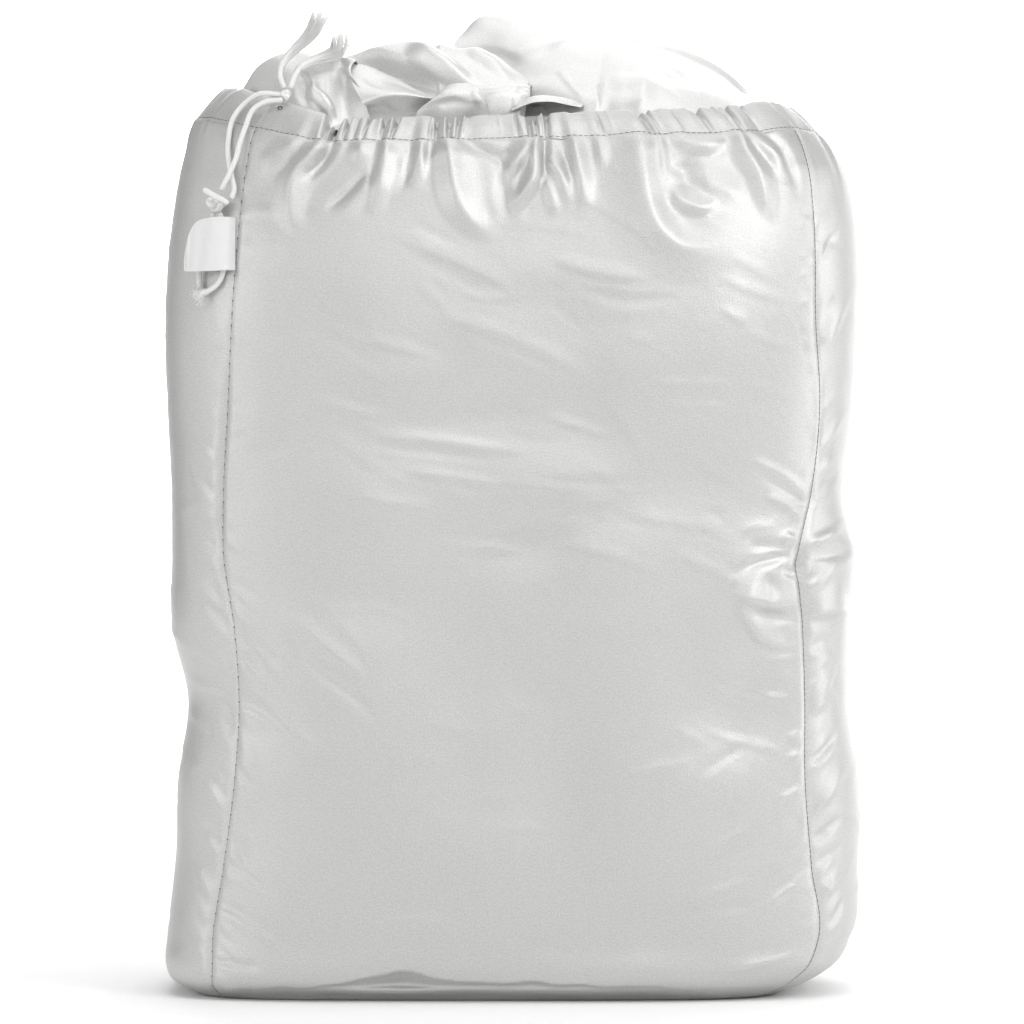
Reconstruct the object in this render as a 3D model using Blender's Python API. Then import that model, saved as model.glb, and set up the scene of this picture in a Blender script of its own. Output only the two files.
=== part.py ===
"""A car cover packed in its drawstring storage bag, standing on its base.

The bag is sewn from a front, a back, two side gussets and a base. Its top edge is turned down as a hem
that a drawstring gathers, and the folded cover fills the bag and rises out of its mouth.
Metres, +Z up, the front faces -Y, and the origin is at the middle of the base on the surface it stands on.
"""

import math

import bmesh
import bpy
import numpy as np
from mathutils import Vector

MM = 0.001

# Cloth and seams
CLOTH = 1.5 * MM
SEAM_GAP = 0.5 * MM
HEM_THICKNESS = 4.0 * MM
COVER_GAP = 1.0 * MM
BASE_INSET = 2.0 * MM

# The bag's own sections, in millimetres, from the base to the hem's top edge. Edges and seams are
# positions along X, half_depth is along Y, and squareness is the exponent of the rounded rectangle.
SECTION_COLUMNS = ("height", "left", "left_seam", "right_seam", "right", "half_depth", "squareness")
SECTIONS = (
    (0, -143, -128, 113, 123, 72, 3.6),
    (4, -154, -132, 121, 134, 84, 3.6),
    (14, -158, -134, 132, 149, 91, 3.6),
    (26, -157, -134, 137, 156, 93, 3.5),
    (60, -153, -129, 134, 157, 94, 3.4),
    (98, -152, -124, 131, 158, 95, 3.4),
    (134, -148, -122, 131, 154, 95, 3.4),
    (166, -155, -124, 130, 154, 95, 3.4),
    (199, -155, -129, 128, 157, 95, 3.4),
    (226, -155, -129, 134, 152, 95, 3.4),
    (264, -157, -127, 138, 156, 94, 3.4),
    (306, -158, -125, 136, 157.7, 93, 3.4),
    (336, -157, -123, 136, 157, 91, 3.3),
    (356, -154, -121, 135, 156, 88, 3.2),
    (372, -150, -119, 133, 153, 84, 3.1),
    (388, -145, -115, 127, 143, 78, 3.0),
    (396, -137, -109, 120, 135, 73, 2.9),
    (400, -131, -105, 115, 130, 70, 2.8),
)
FULL_THICKNESS_ROW = len(SECTIONS) - 3  # the hem's stitched lower edge

# How far the hem's top edge stands above its nominal height, at angles around the mouth in degrees,
# counted from the right-hand side and through the back, and where on the way up it starts to count.
RIM_RISE_COLUMNS = ("angle", "rise")
RIM_RISE = (
    (0, -2), (60, 2), (120, 6), (160, 10), (188, 12), (197, 10), (204, 6), (211, 1),
    (219, -5), (245, -5), (270, -4), (312, -2), (327, 0), (338, 4), (347, 2),
)
RISE_STARTS = 300

# Puffs of cloth under the hem: where each leaves the hem, where it ends, its half width, its height
# and how far down it runs, in millimetres. The front's follow the eye; the others come from a rule.
PUFF_COLUMNS = ("at", "ends", "half_width", "height", "run")
FRONT_PUFFS = (
    (-90, -98, 9, 6, 52),
    (-71, -74, 7, 3, 38),
    (-50, -52, 14, 4, 52),
    (-33, -32, 6, 4, 38),
    (-13, -12, 16, 6, 56),
    (26, 30, 13, 5, 54),
    (52, 54, 14, 2, 44),
    (81, 84, 18, 6, 56),
    (108, 114, 9, 4, 50),
)
PLAIN_PUFFS = {"back": 7, "left_gusset": 3, "right_gusset": 4}

# The panels in order round the ring, with their numbers of columns
PANELS = (("front", 34), ("right_gusset", 14), ("back", 22), ("left_gusset", 14))

# Ridges of the packed cover above the mouth, in millimetres: both ends, the height at each, the half width
FOLD_COLUMNS = ("x0", "y0", "z0", "x1", "y1", "z1", "half_width")
COVER_FOLDS = (
    (-114, -14, 420, -90, -36, 428, 27),
    (-82, -24, 424, -50, -24, 434, 28),
    (-50, -24, 434, -6, -30, 424, 27),
    (-6, -30, 424, 12, -40, 410, 22),
    (-26, 38, 430, -12, 38, 444, 40),
    (-12, 38, 444, 24, 36, 441, 54),
    (24, 36, 441, 66, 32, 434, 62),
    (66, 32, 434, 92, 22, 425, 50),
    (92, 22, 425, 108, 8, 412, 26),
    (-84, 36, 420, -34, 40, 428, 32),
)
FOLD_BLEND = 5  # how sharply neighbouring ridges meet
COVER_FLOOR = 400  # the height between the ridges
COVER_RINGS = (0.97, 0.92, 0.85, 0.77, 0.68, 0.58, 0.47, 0.36, 0.25, 0.12)  # shares of the mouth's size
MOUTH_EDGE = 0.16  # share of the mouth in which the cover rises from the hem to its ridges
COVER_COLUMN_STEP = 2
COVER_CHORD_ROOM = 0.004  # share by which the cover's wider facets keep off the cloth's

# The drawstring's strands, from the small knot at the hem down to the big one, the tails below that
# and the two above the small one: routes in millimetres, through which smooth curves are laid.
CORD_DIAMETER = 2.4 * MM
CORD_STEP = 2.5 * CORD_DIAMETER
CORD_SIDES = 8
CORD_ROUTES = {
    "strand_outer": (
        (-104.4, -59.0, 405.4), (-112.7, -58.5, 405.9), (-120.3, -55.5, 401.6), (-125.3, -57.0, 394.9),
        (-127.3, -60.5, 385.0), (-127.0, -65.0, 376.0), (-125.7, -68.5, 369.3), (-124.2, -72.5, 361.2),
        (-125.0, -75.5, 358.6),
    ),
    "strand_inner": (
        (-103.9, -60.9, 402.9), (-111.4, -60.5, 401.8), (-115.8, -60.5, 399.0), (-119.4, -63.5, 390.9),
        (-121.7, -66.5, 383.7), (-123.9, -70.0, 374.7), (-126.2, -71.9, 369.3), (-129.6, -72.0, 362.6),
    ),
    "tail_left": (
        (-133.6, -71.5, 350.6), (-136.2, -70.5, 344.0), (-138.6, -69.8, 336.0), (-139.8, -69.5, 327.0),
        (-139.8, -69.5, 319.0),
    ),
    "tail_right": (
        (-130.2, -73.0, 350.6), (-128.8, -75.0, 344.0), (-128.0, -76.6, 336.0), (-128.2, -77.2, 327.5),
        (-130.6, -76.4, 320.8), (-134.6, -74.6, 317.2), (-138.6, -73.2, 315.6),
    ),
    "upper_tail_left": (
        (-102.6, -57.0, 409.2), (-104.4, -52.5, 414.4), (-103.2, -47.0, 420.4), (-99.4, -43.0, 426.0),
        (-94.6, -41.5, 430.4), (-90.4, -41.5, 435.0),
    ),
    "upper_tail_right": (
        (-99.4, -57.5, 409.0), (-97.6, -53.5, 414.4), (-94.8, -50.0, 418.8), (-89.4, -47.0, 421.8),
        (-83.0, -45.0, 424.0), (-78.0, -44.5, 426.6),
    ),
}

# The knots and the frayed ends of the drawstring, in millimetres
KNOT_COLUMNS = ("name", "x", "y", "z", "width", "depth", "height")
KNOTS = (
    ("hem_knot", -101.6, -58.8, 405.4, 4.6, 5.0, 5.6),
    ("big_knot", -132.0, -72.0, 355.6, 9.4, 6.0, 8.4),
)
KNOT_WRAP = ((-136.8, -74.6, 361.6), (-134.4, -76.6, 360.0), (-130.4, -77.6, 357.8), (-127.2, -77.8, 356.0))
FRAY_COLUMNS = ("name", "x", "y", "z", "across", "along", "up", "length", "spread")
FRAYED_ENDS = (
    ("fray_left", -140.1, -69.5, 318.4, -0.4, -0.1, -1.0, 4.0, 2.8),
    ("fray_right", -139.2, -72.9, 315.2, -0.8, -0.1, -1.0, 4.0, 2.8),
    ("upper_fray_left", -90.0, -41.5, 435.6, 0.45, 0.1, 1.0, 12.0, 7.5),
    ("upper_fray_right", -77.2, -44.4, 428.6, 0.1, 0.1, 1.0, 9.0, 6.5),
)
FRAY_SIDES = 8
FRAY_RINGS = ((0.0, 0.30), (0.35, 0.42), (0.72, 0.85), (1.0, 1.0))  # share of the length, of the spread

# The sewn label, in millimetres: its front face's columns from the seam leftwards, where each stands at
# the label's foot, and the column's top and bottom. It leans back towards its top with the bag.
LABEL_THICKNESS = 1.0
LABEL_LEAN = 0.15
LABEL_FOOT = 325.4
LABEL_COLUMNS = ("x", "y", "top", "bottom")
LABEL_SHAPE = (
    (-123.4, -77.8, 349.4, 325.7),
    (-126.6, -81.0, 349.6, 325.6),
    (-131.0, -81.4, 349.6, 325.4),
    (-136.0, -79.2, 349.2, 325.3),
    (-140.6, -76.2, 347.8, 325.2),
    (-143.6, -73.8, 344.0, 325.2),
    (-145.6, -72.0, 337.0, 325.4),
    (-146.6, -71.2, 331.0, 325.8),
)

WHITE_CORD = (0.88, 0.88, 0.87)
SILVER_CLOTH = (0.72, 0.72, 0.71)
COVER_CLOTH = (0.76, 0.76, 0.75)
LABEL_CLOTH = (0.82, 0.82, 0.81)


def named(columns, row):
    return dict(zip(columns, row))


def clear_scene():
    for old in list(bpy.data.objects):
        bpy.data.objects.remove(old, do_unlink=True)


def material(name, colour, roughness, metallic):
    made = bpy.data.materials.new(name)
    made.use_nodes = True
    shader = made.node_tree.nodes["Principled BSDF"]
    shader.inputs["Base Color"].default_value = (*colour, 1.0)
    shader.inputs["Roughness"].default_value = roughness
    shader.inputs["Metallic"].default_value = metallic
    return made


def place(name, verts, faces, finish):
    """A named object from points and faces, with its faces pointing outwards."""
    mesh = bpy.data.meshes.new(name)
    mesh.from_pydata([tuple(v) for v in verts], [], faces)
    work = bmesh.new()
    work.from_mesh(mesh)
    bmesh.ops.recalc_face_normals(work, faces=work.faces)
    work.to_mesh(mesh)
    work.free()
    mesh.materials.append(finish)
    mesh.shade_smooth()
    made = bpy.data.objects.new(name, mesh)
    bpy.context.scene.collection.objects.link(made)
    return made


def arc_between(section, start, end, count):
    """count + 1 points evenly spaced along the section's outline between two angles."""
    centre = (section["left"] + section["right"]) / 2
    half_width = (section["right"] - section["left"]) / 2
    power = 2 / section["squareness"]
    angles = np.linspace(start, end, 400)
    cos, sin = np.cos(angles), np.sin(angles)
    x = centre + half_width * np.sign(cos) * np.abs(cos) ** power
    y = section["half_depth"] * np.sign(sin) * np.abs(sin) ** power
    along = np.concatenate([[0], np.cumsum(np.hypot(np.diff(x), np.diff(y)))])
    at = np.linspace(0, along[-1], count + 1)
    return np.stack([np.interp(at, along, x), np.interp(at, along, y)], axis=1)


def seam_angle(section, seam):
    """The angle at which the front's outline passes a seam."""
    centre = (section["left"] + section["right"]) / 2
    half_width = (section["right"] - section["left"]) / 2
    reach = (seam - centre) / half_width
    cos = math.copysign(abs(reach) ** (section["squareness"] / 2), reach)
    return -math.acos(cos)


def section_ring(section):
    """The outline's points in order: front, right gusset, back and left gusset."""
    left, right = seam_angle(section, section["left_seam"]), seam_angle(section, section["right_seam"])
    corners = (left, right, -right, -left, left + 2 * math.pi)
    ring = [
        arc_between(section, corners[i], corners[i + 1], count)[:-1]
        for i, (_, count) in enumerate(PANELS)
    ]
    return np.concatenate(ring)


def rim_rise(points):
    """How far the mouth stands above its nominal height at each of these points."""
    angle = np.degrees(np.arctan2(points[:, 1], points[:, 0])) % 360
    table = np.array(RIM_RISE)
    return np.interp(angle, table[:, 0], table[:, 1], period=360)


def panel_columns():
    """Each panel's first and last column in the ring."""
    spans, first = {}, 0
    for name, count in PANELS:
        spans[name] = (first, first + count)
        first += count
    return spans, first


def panel_puffs(name, width):
    """The puffs of one panel, measured along it from its middle."""
    if name == "front":
        return [named(PUFF_COLUMNS, row) for row in FRONT_PUFFS]
    count = PLAIN_PUFFS[name]
    pitch = width / (count + 0.6)
    puffs = []
    for i in range(count):
        at = (i - (count - 1) / 2) * pitch + 0.16 * pitch * math.sin(2.3 * i + 1)
        height = 4.2 + 1.4 * math.sin(1.9 * i + 0.5)
        puffs.append(named(PUFF_COLUMNS, (at, 1.04 * at, 0.36 * pitch, height, 50 + 6 * math.cos(3.1 * i))))
    return puffs


def puff_height(puffs, along, below):
    """How far the cloth stands out at a place along a panel and a depth below the hem's seam."""
    height = 0.0
    for puff in puffs:
        share = below / puff["run"]
        if 0 < share < 1:
            middle = puff["at"] + (puff["ends"] - puff["at"]) * share
            across = (along - middle) / puff["half_width"]
            height += puff["height"] * math.sin(math.pi * share ** 0.7) * math.exp(-across * across)
    return height


def bag_grid():
    """The bag's outer surface as rows of points round the ring, in millimetres, and its normals."""
    sections = [named(SECTION_COLUMNS, row) for row in SECTIONS]
    spans, columns = panel_columns()
    seam_height = sections[FULL_THICKNESS_ROW]["height"]
    top = sections[-1]["height"]
    grid = np.zeros((len(sections), columns, 3))
    for i, section in enumerate(sections):
        ring = section_ring(section)
        tangent = np.roll(ring, -1, axis=0) - np.roll(ring, 1, axis=0)
        tangent /= np.linalg.norm(tangent, axis=1)[:, None]
        outward = np.stack([tangent[:, 1], -tangent[:, 0]], axis=1)
        below = seam_height - section["height"]
        for name, (first, last) in spans.items():
            step = np.linalg.norm(ring[first + 1] - ring[first])
            half = step * (last - first) / 2
            puffs = panel_puffs(name, 2 * half)
            for j in range(first, last):
                along = (j - first) * step - half
                ring[j] += outward[j] * puff_height(puffs, along, below)
        share = max(0.0, (section["height"] - RISE_STARTS) / (top - RISE_STARTS))
        grid[i, :, :2] = ring
        grid[i, :, 2] = section["height"] + rim_rise(ring) * share ** 1.5
    up = np.gradient(grid, axis=0)
    along = np.roll(grid, -1, axis=1) - np.roll(grid, 1, axis=1)
    normals = np.cross(along, up)
    normals /= np.linalg.norm(normals, axis=2)[:, :, None]
    return grid, normals, along / np.linalg.norm(along, axis=2)[:, :, None]


def wall_thickness(row):
    return (HEM_THICKNESS if row >= FULL_THICKNESS_ROW else CLOTH) / MM


def make_panel(name, span, grid, normals, along, finish):
    """One side of the bag: an outer and an inner face, closed round its four edges."""
    rows, columns = grid.shape[0], grid.shape[1]
    first, last = span
    count = last - first + 1
    outer, inner = [], []
    for i in range(rows):
        for j in range(first, last + 1):
            k = j % columns
            shift = SEAM_GAP / MM / 2 * ((j == first) - (j == last))
            point = grid[i, k] + along[i, k] * shift
            outer.append(point)
            inner.append(point - normals[i, k] * wall_thickness(i))
    verts = (np.array(outer + inner)) * MM
    offset = len(outer)
    faces = []
    for i in range(rows - 1):
        for j in range(count - 1):
            a, b = i * count + j, (i + 1) * count + j
            faces.append((a, a + 1, b + 1, b))
            faces.append((offset + a, offset + b, offset + b + 1, offset + a + 1))
        for j, flip in ((0, False), (count - 1, True)):
            a, b = i * count + j, (i + 1) * count + j
            side = (a, b, offset + b, offset + a)
            faces.append(side[::-1] if flip else side)
    for i, flip in ((0, True), (rows - 1, False)):
        for j in range(count - 1):
            a = i * count + j
            edge = (a, a + 1, offset + a + 1, offset + a)
            faces.append(edge[::-1] if flip else edge)
    return place(name, verts, faces, finish)


def make_base(grid, finish):
    """The flat cloth that the bag stands on, inside the lower edge of its four sides."""
    ring = grid[0, :, :2]
    size = np.abs(ring).max(axis=0)
    inset = ring * (1 - BASE_INSET / MM / size)
    low = [(x, y, 0.0) for x, y in inset]
    high = [(x, y, CLOTH / MM) for x, y in inset]
    count = len(low)
    faces = [tuple(range(count))[::-1], tuple(range(count, 2 * count))]
    faces += [(i, (i + 1) % count, count + (i + 1) % count, count + i) for i in range(count)]
    return place("base", np.array(low + high) * MM, faces, finish)


def fold_height(x, y):
    """The packed cover's height at a place inside the mouth, where its ridges run into each other."""
    total = 0.0
    for row in COVER_FOLDS:
        fold = named(FOLD_COLUMNS, row)
        start, end = Vector((fold["x0"], fold["y0"])), Vector((fold["x1"], fold["y1"]))
        way = end - start
        share = min(1.0, max(0.0, (Vector((x, y)) - start).dot(way) / way.length_squared))
        away = (Vector((x, y)) - start - way * share).length / fold["half_width"]
        crest = fold["z0"] + (fold["z1"] - fold["z0"]) * share - COVER_FLOOR
        if away < 1:
            total += (crest * (1 - away ** 2)) ** FOLD_BLEND
    return COVER_FLOOR + total ** (1 / FOLD_BLEND)


def make_cover(grid, normals, finish):
    """The folded cover: it fills the bag a little inside the cloth, and its folds rise above the mouth."""
    rows, columns = grid.shape[0], grid.shape[1]
    picked = range(0, columns, COVER_COLUMN_STEP)
    count = len(picked)
    points = []
    for i in range(rows):
        wall = grid[i] - normals[i] * (wall_thickness(i) + COVER_GAP / MM)
        for j in picked:
            nearby = [math.hypot(*wall[(j + k) % columns, :2]) for k in (-1, 0, 1)]
            scale = min(nearby) / nearby[1] - COVER_CHORD_ROOM
            x, y, z = wall[j]
            points.append((x * scale, y * scale, z))
    for scale in COVER_RINGS:
        share = min(1.0, (1 - scale) / MOUTH_EDGE)
        for x, y, z in points[(rows - 1) * count : rows * count]:
            top = fold_height(x * scale, y * scale)
            points.append((x * scale, y * scale, z + (top - z) * share))
    levels = len(points) // count
    peak, bottom = len(points), len(points) + 1
    points += [(0, 0, fold_height(0, 0)), (0, 0, points[0][2])]
    faces = []
    for i in range(levels - 1):
        for j in range(count):
            a, b = i * count + j, i * count + (j + 1) % count
            faces.append((a, b, b + count, a + count))
    for j in range(count):
        a, b = (levels - 1) * count + j, (levels - 1) * count + (j + 1) % count
        faces.append((a, b, peak))
        faces.append((bottom, (j + 1) % count, j))
    return place("packed_cover", np.array(points) * MM, faces, finish)


def smooth_route(points, step):
    """Points at an even step along a curve that runs smoothly through a route's points."""
    ends = [2 * points[0] - points[1], *points, 2 * points[-1] - points[-2]]
    fine = []
    for i in range(1, len(ends) - 2):
        a, b, c, d = ends[i - 1 : i + 3]
        for t in np.linspace(0, 1, 24, endpoint=False):
            fine.append(
                b
                + (c - a) * (t / 2)
                + (a * 2 - b * 5 + c * 4 - d) * (t ** 2 / 2)
                + (b * 3 - a - c * 3 + d) * (t ** 3 / 2)
            )
    fine.append(points[-1])
    fine = np.array(fine)
    along = np.concatenate([[0], np.cumsum(np.linalg.norm(np.diff(fine, axis=0), axis=1))])
    count = max(4, round(along[-1] / step))
    at = np.linspace(0, along[-1], count + 1)
    return np.stack([np.interp(at, along, fine[:, k]) for k in range(3)], axis=1)


def make_cord(name, route, diameter, finish):
    """A round cord as a bevelled curve along its route."""
    points = smooth_route([np.array(p) * MM for p in route], CORD_STEP)
    curve = bpy.data.curves.new(name, "CURVE")
    curve.dimensions = "3D"
    curve.bevel_depth = diameter / 2
    curve.bevel_resolution = CORD_SIDES // 4
    curve.use_fill_caps = True
    spline = curve.splines.new("POLY")
    spline.points.add(len(points) - 1)
    for point, target in zip(points, spline.points):
        target.co = (*point, 1.0)
    curve.materials.append(finish)
    made = bpy.data.objects.new(name, curve)
    bpy.context.scene.collection.objects.link(made)
    return made


def make_knot(knot, finish):
    """A pulled-tight knot as one rounded solid."""
    work = bmesh.new()
    bmesh.ops.create_uvsphere(work, u_segments=12, v_segments=8, radius=0.5)
    verts = [
        (
            (knot["x"] + v.co.x * knot["width"]) * MM,
            (knot["y"] + v.co.y * knot["depth"]) * MM,
            (knot["z"] + v.co.z * knot["height"]) * MM,
        )
        for v in work.verts
    ]
    faces = [[v.index for v in face.verts] for face in work.faces]
    work.free()
    return place(knot["name"], verts, faces, finish)


def make_fray(fray, finish):
    """A frayed end: a tuft that spreads out from the cord."""
    way = Vector((fray["across"], fray["along"], fray["up"])).normalized()
    side = way.orthogonal().normalized()
    over = way.cross(side)
    start = Vector((fray["x"], fray["y"], fray["z"]))
    verts, faces = [], []
    for share, width in FRAY_RINGS:
        for i in range(FRAY_SIDES):
            turn = 2 * math.pi * i / FRAY_SIDES
            radius = fray["spread"] / 2 * width
            offset = side * math.cos(turn) + over * math.sin(turn)
            verts.append((start + way * fray["length"] * share + offset * radius) * MM)
    for ring in range(len(FRAY_RINGS) - 1):
        for i in range(FRAY_SIDES):
            a, b = ring * FRAY_SIDES + i, ring * FRAY_SIDES + (i + 1) % FRAY_SIDES
            faces.append((a, b, b + FRAY_SIDES, a + FRAY_SIDES))
    last = (len(FRAY_RINGS) - 1) * FRAY_SIDES
    faces.append(tuple(range(FRAY_SIDES)))
    faces.append(tuple(range(last, last + FRAY_SIDES)))
    return place(fray["name"], verts, faces, finish)


def make_label(finish):
    """The small label whose edge is caught in the front left seam."""
    columns = [named(LABEL_COLUMNS, row) for row in LABEL_SHAPE]
    verts, faces = [], []
    for i, column in enumerate(columns):
        before, after = columns[max(0, i - 1)], columns[min(len(columns) - 1, i + 1)]
        way = Vector((before["x"] - after["x"], before["y"] - after["y"])).normalized()
        back = Vector((-way.y, way.x)) * LABEL_THICKNESS
        for x, y in ((column["x"], column["y"]), (column["x"] + back.x, column["y"] + back.y)):
            for z in (column["bottom"], column["top"]):
                verts.append((x, y + (z - LABEL_FOOT) * LABEL_LEAN, z))
    for i in range(len(columns) - 1):
        a, b = 4 * i, 4 * (i + 1)
        faces += [(a, a + 1, b + 1, b), (a + 2, b + 2, b + 3, a + 3)]
        faces += [(a, b, b + 2, a + 2), (a + 1, a + 3, b + 3, b + 1)]
    end = 4 * (len(columns) - 1)
    faces += [(0, 2, 3, 1), (end, end + 1, end + 3, end + 2)]
    return place("size_label", np.array(verts) * MM, faces, finish)


def main():
    clear_scene()
    silver = material("bag_cloth", SILVER_CLOTH, 0.45, 0.4)
    cover = material("cover_cloth", COVER_CLOTH, 0.45, 0.4)
    white = material("white_cord", WHITE_CORD, 0.7, 0.0)
    woven = material("label_cloth", LABEL_CLOTH, 0.6, 0.0)
    grid, normals, along = bag_grid()
    spans, _ = panel_columns()
    for name, _ in PANELS:
        make_panel(name, spans[name], grid, normals, along, silver)
    make_base(grid, silver)
    make_cover(grid, normals, cover)
    for name, route in CORD_ROUTES.items():
        make_cord(name, route, CORD_DIAMETER, white)
    make_cord("knot_wrap", KNOT_WRAP, CORD_DIAMETER, white)
    for row in KNOTS:
        make_knot(named(KNOT_COLUMNS, row), white)
    for row in FRAYED_ENDS:
        make_fray(named(FRAY_COLUMNS, row), white)
    make_label(woven)


main()
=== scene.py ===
"""A car cover packed in its drawstring storage bag: the finished cloth, cord, label and stitching.

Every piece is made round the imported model, in metres, +Z up, with the bag's front facing -Y.
"""

import functools
import math

import bpy
import numpy as np
from bpy.props import FloatProperty, FloatVectorProperty, PointerProperty
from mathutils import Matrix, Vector


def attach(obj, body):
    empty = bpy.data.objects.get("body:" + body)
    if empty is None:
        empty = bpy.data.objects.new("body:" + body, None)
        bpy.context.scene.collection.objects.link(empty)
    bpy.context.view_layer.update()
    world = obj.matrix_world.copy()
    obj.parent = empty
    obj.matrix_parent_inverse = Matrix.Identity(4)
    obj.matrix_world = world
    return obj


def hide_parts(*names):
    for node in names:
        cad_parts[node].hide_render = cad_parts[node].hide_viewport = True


bl_info = {
    "name": "Packed Car Cover",
    "version": (1, 0, 0),
    "blender": (4, 5, 0),
    "location": "3D View > Sidebar > Car Cover",
    "description": "Makes a car cover packed in its drawstring storage bag",
    "category": "Object",
}

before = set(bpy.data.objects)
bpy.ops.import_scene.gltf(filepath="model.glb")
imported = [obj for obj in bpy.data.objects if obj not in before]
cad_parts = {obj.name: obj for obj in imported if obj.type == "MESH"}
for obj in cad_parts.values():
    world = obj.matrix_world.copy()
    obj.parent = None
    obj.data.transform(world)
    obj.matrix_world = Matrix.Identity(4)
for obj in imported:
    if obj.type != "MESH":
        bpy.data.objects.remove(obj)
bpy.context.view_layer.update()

MM = 0.001
BODY = "root"

# The bag's sections, in millimetres, from the base to the hem's top edge. Edges and seams are positions
# along X, half_depth is along Y, and squareness is the exponent of the rounded rectangle.
SECTION_COLUMNS = ("height", "left", "left_seam", "right_seam", "right", "half_depth", "squareness")
SECTIONS = (
    (0, -144, -130, 112, 121, 80, 3.8),
    (3, -151, -132, 117, 128, 84, 3.8),
    (7, -156, -134, 124, 138, 90.5, 3.8),
    (14, -158, -134, 132, 149, 93, 3.7),
    (26, -157, -134, 137, 156, 93.6, 3.5),
    (60, -153, -129, 134, 157, 94.3, 3.4),
    (98, -152, -124, 131, 158, 95, 3.4),
    (134, -148, -122, 131, 154, 95, 3.4),
    (166, -155, -124, 130, 154, 95, 3.4),
    (199, -155, -129, 128, 157, 95, 3.4),
    (226, -155, -129, 134, 152, 95, 3.4),
    (264, -157, -127, 138, 156, 94, 3.4),
    (306, -158, -125, 136, 157.7, 93, 3.4),
    (336, -157, -123, 136, 157, 91, 3.3),
    (356, -154, -121, 135, 156, 88, 3.2),
    (372, -150, -119, 133, 153, 84, 3.1),
    (388, -145, -115, 127, 143, 78, 3.0),
    (396, -137, -109, 120, 135, 73, 2.9),
    (400, -131, -105, 115, 130, 70, 2.8),
)
STITCH_HEIGHT = 388  # the hem's stitched lower edge

# How far the mouth stands above its nominal height at angles round it, in degrees and millimetres
RIM_RISE = (
    (0, -2), (60, 2), (120, 6), (160, 10), (188, 12), (197, 10), (204, 6), (211, 1),
    (219, -5), (245, -5), (270, -4), (312, -2), (327, 0), (338, 4), (347, 2),
)
RISE_STARTS = 300  # the height from which that rise sets in

# The side panels in order round the bag, with the columns of their meshes
PANELS = (("front", 240), ("right_gusset", 120), ("back", 160), ("left_gusset", 120))
WALL_ROWS = 384

# The front's gathers at the hem: where each is, how far it reaches sideways and how tight it is
GATHER_COLUMNS = ("at", "reach", "tightness")
FRONT_GATHERS = (
    (-83, 3.5, 0.9), (-76, 2.5, 0.7), (-64, 3, 0.6), (-56, 4, 0.9), (-31, 2.5, 1.0), (-24, 4, 1.0),
    (-5, 2.5, 0.4), (7, 3, 0.8), (14, 3.5, 1.0), (28, 2.5, 0.4), (47, 2.5, 0.4), (63, 3.5, 0.9),
    (69, 3, 0.5), (88, 5, 0.6), (100, 4, 0.9), (112, 4, 0.5),
)

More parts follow.
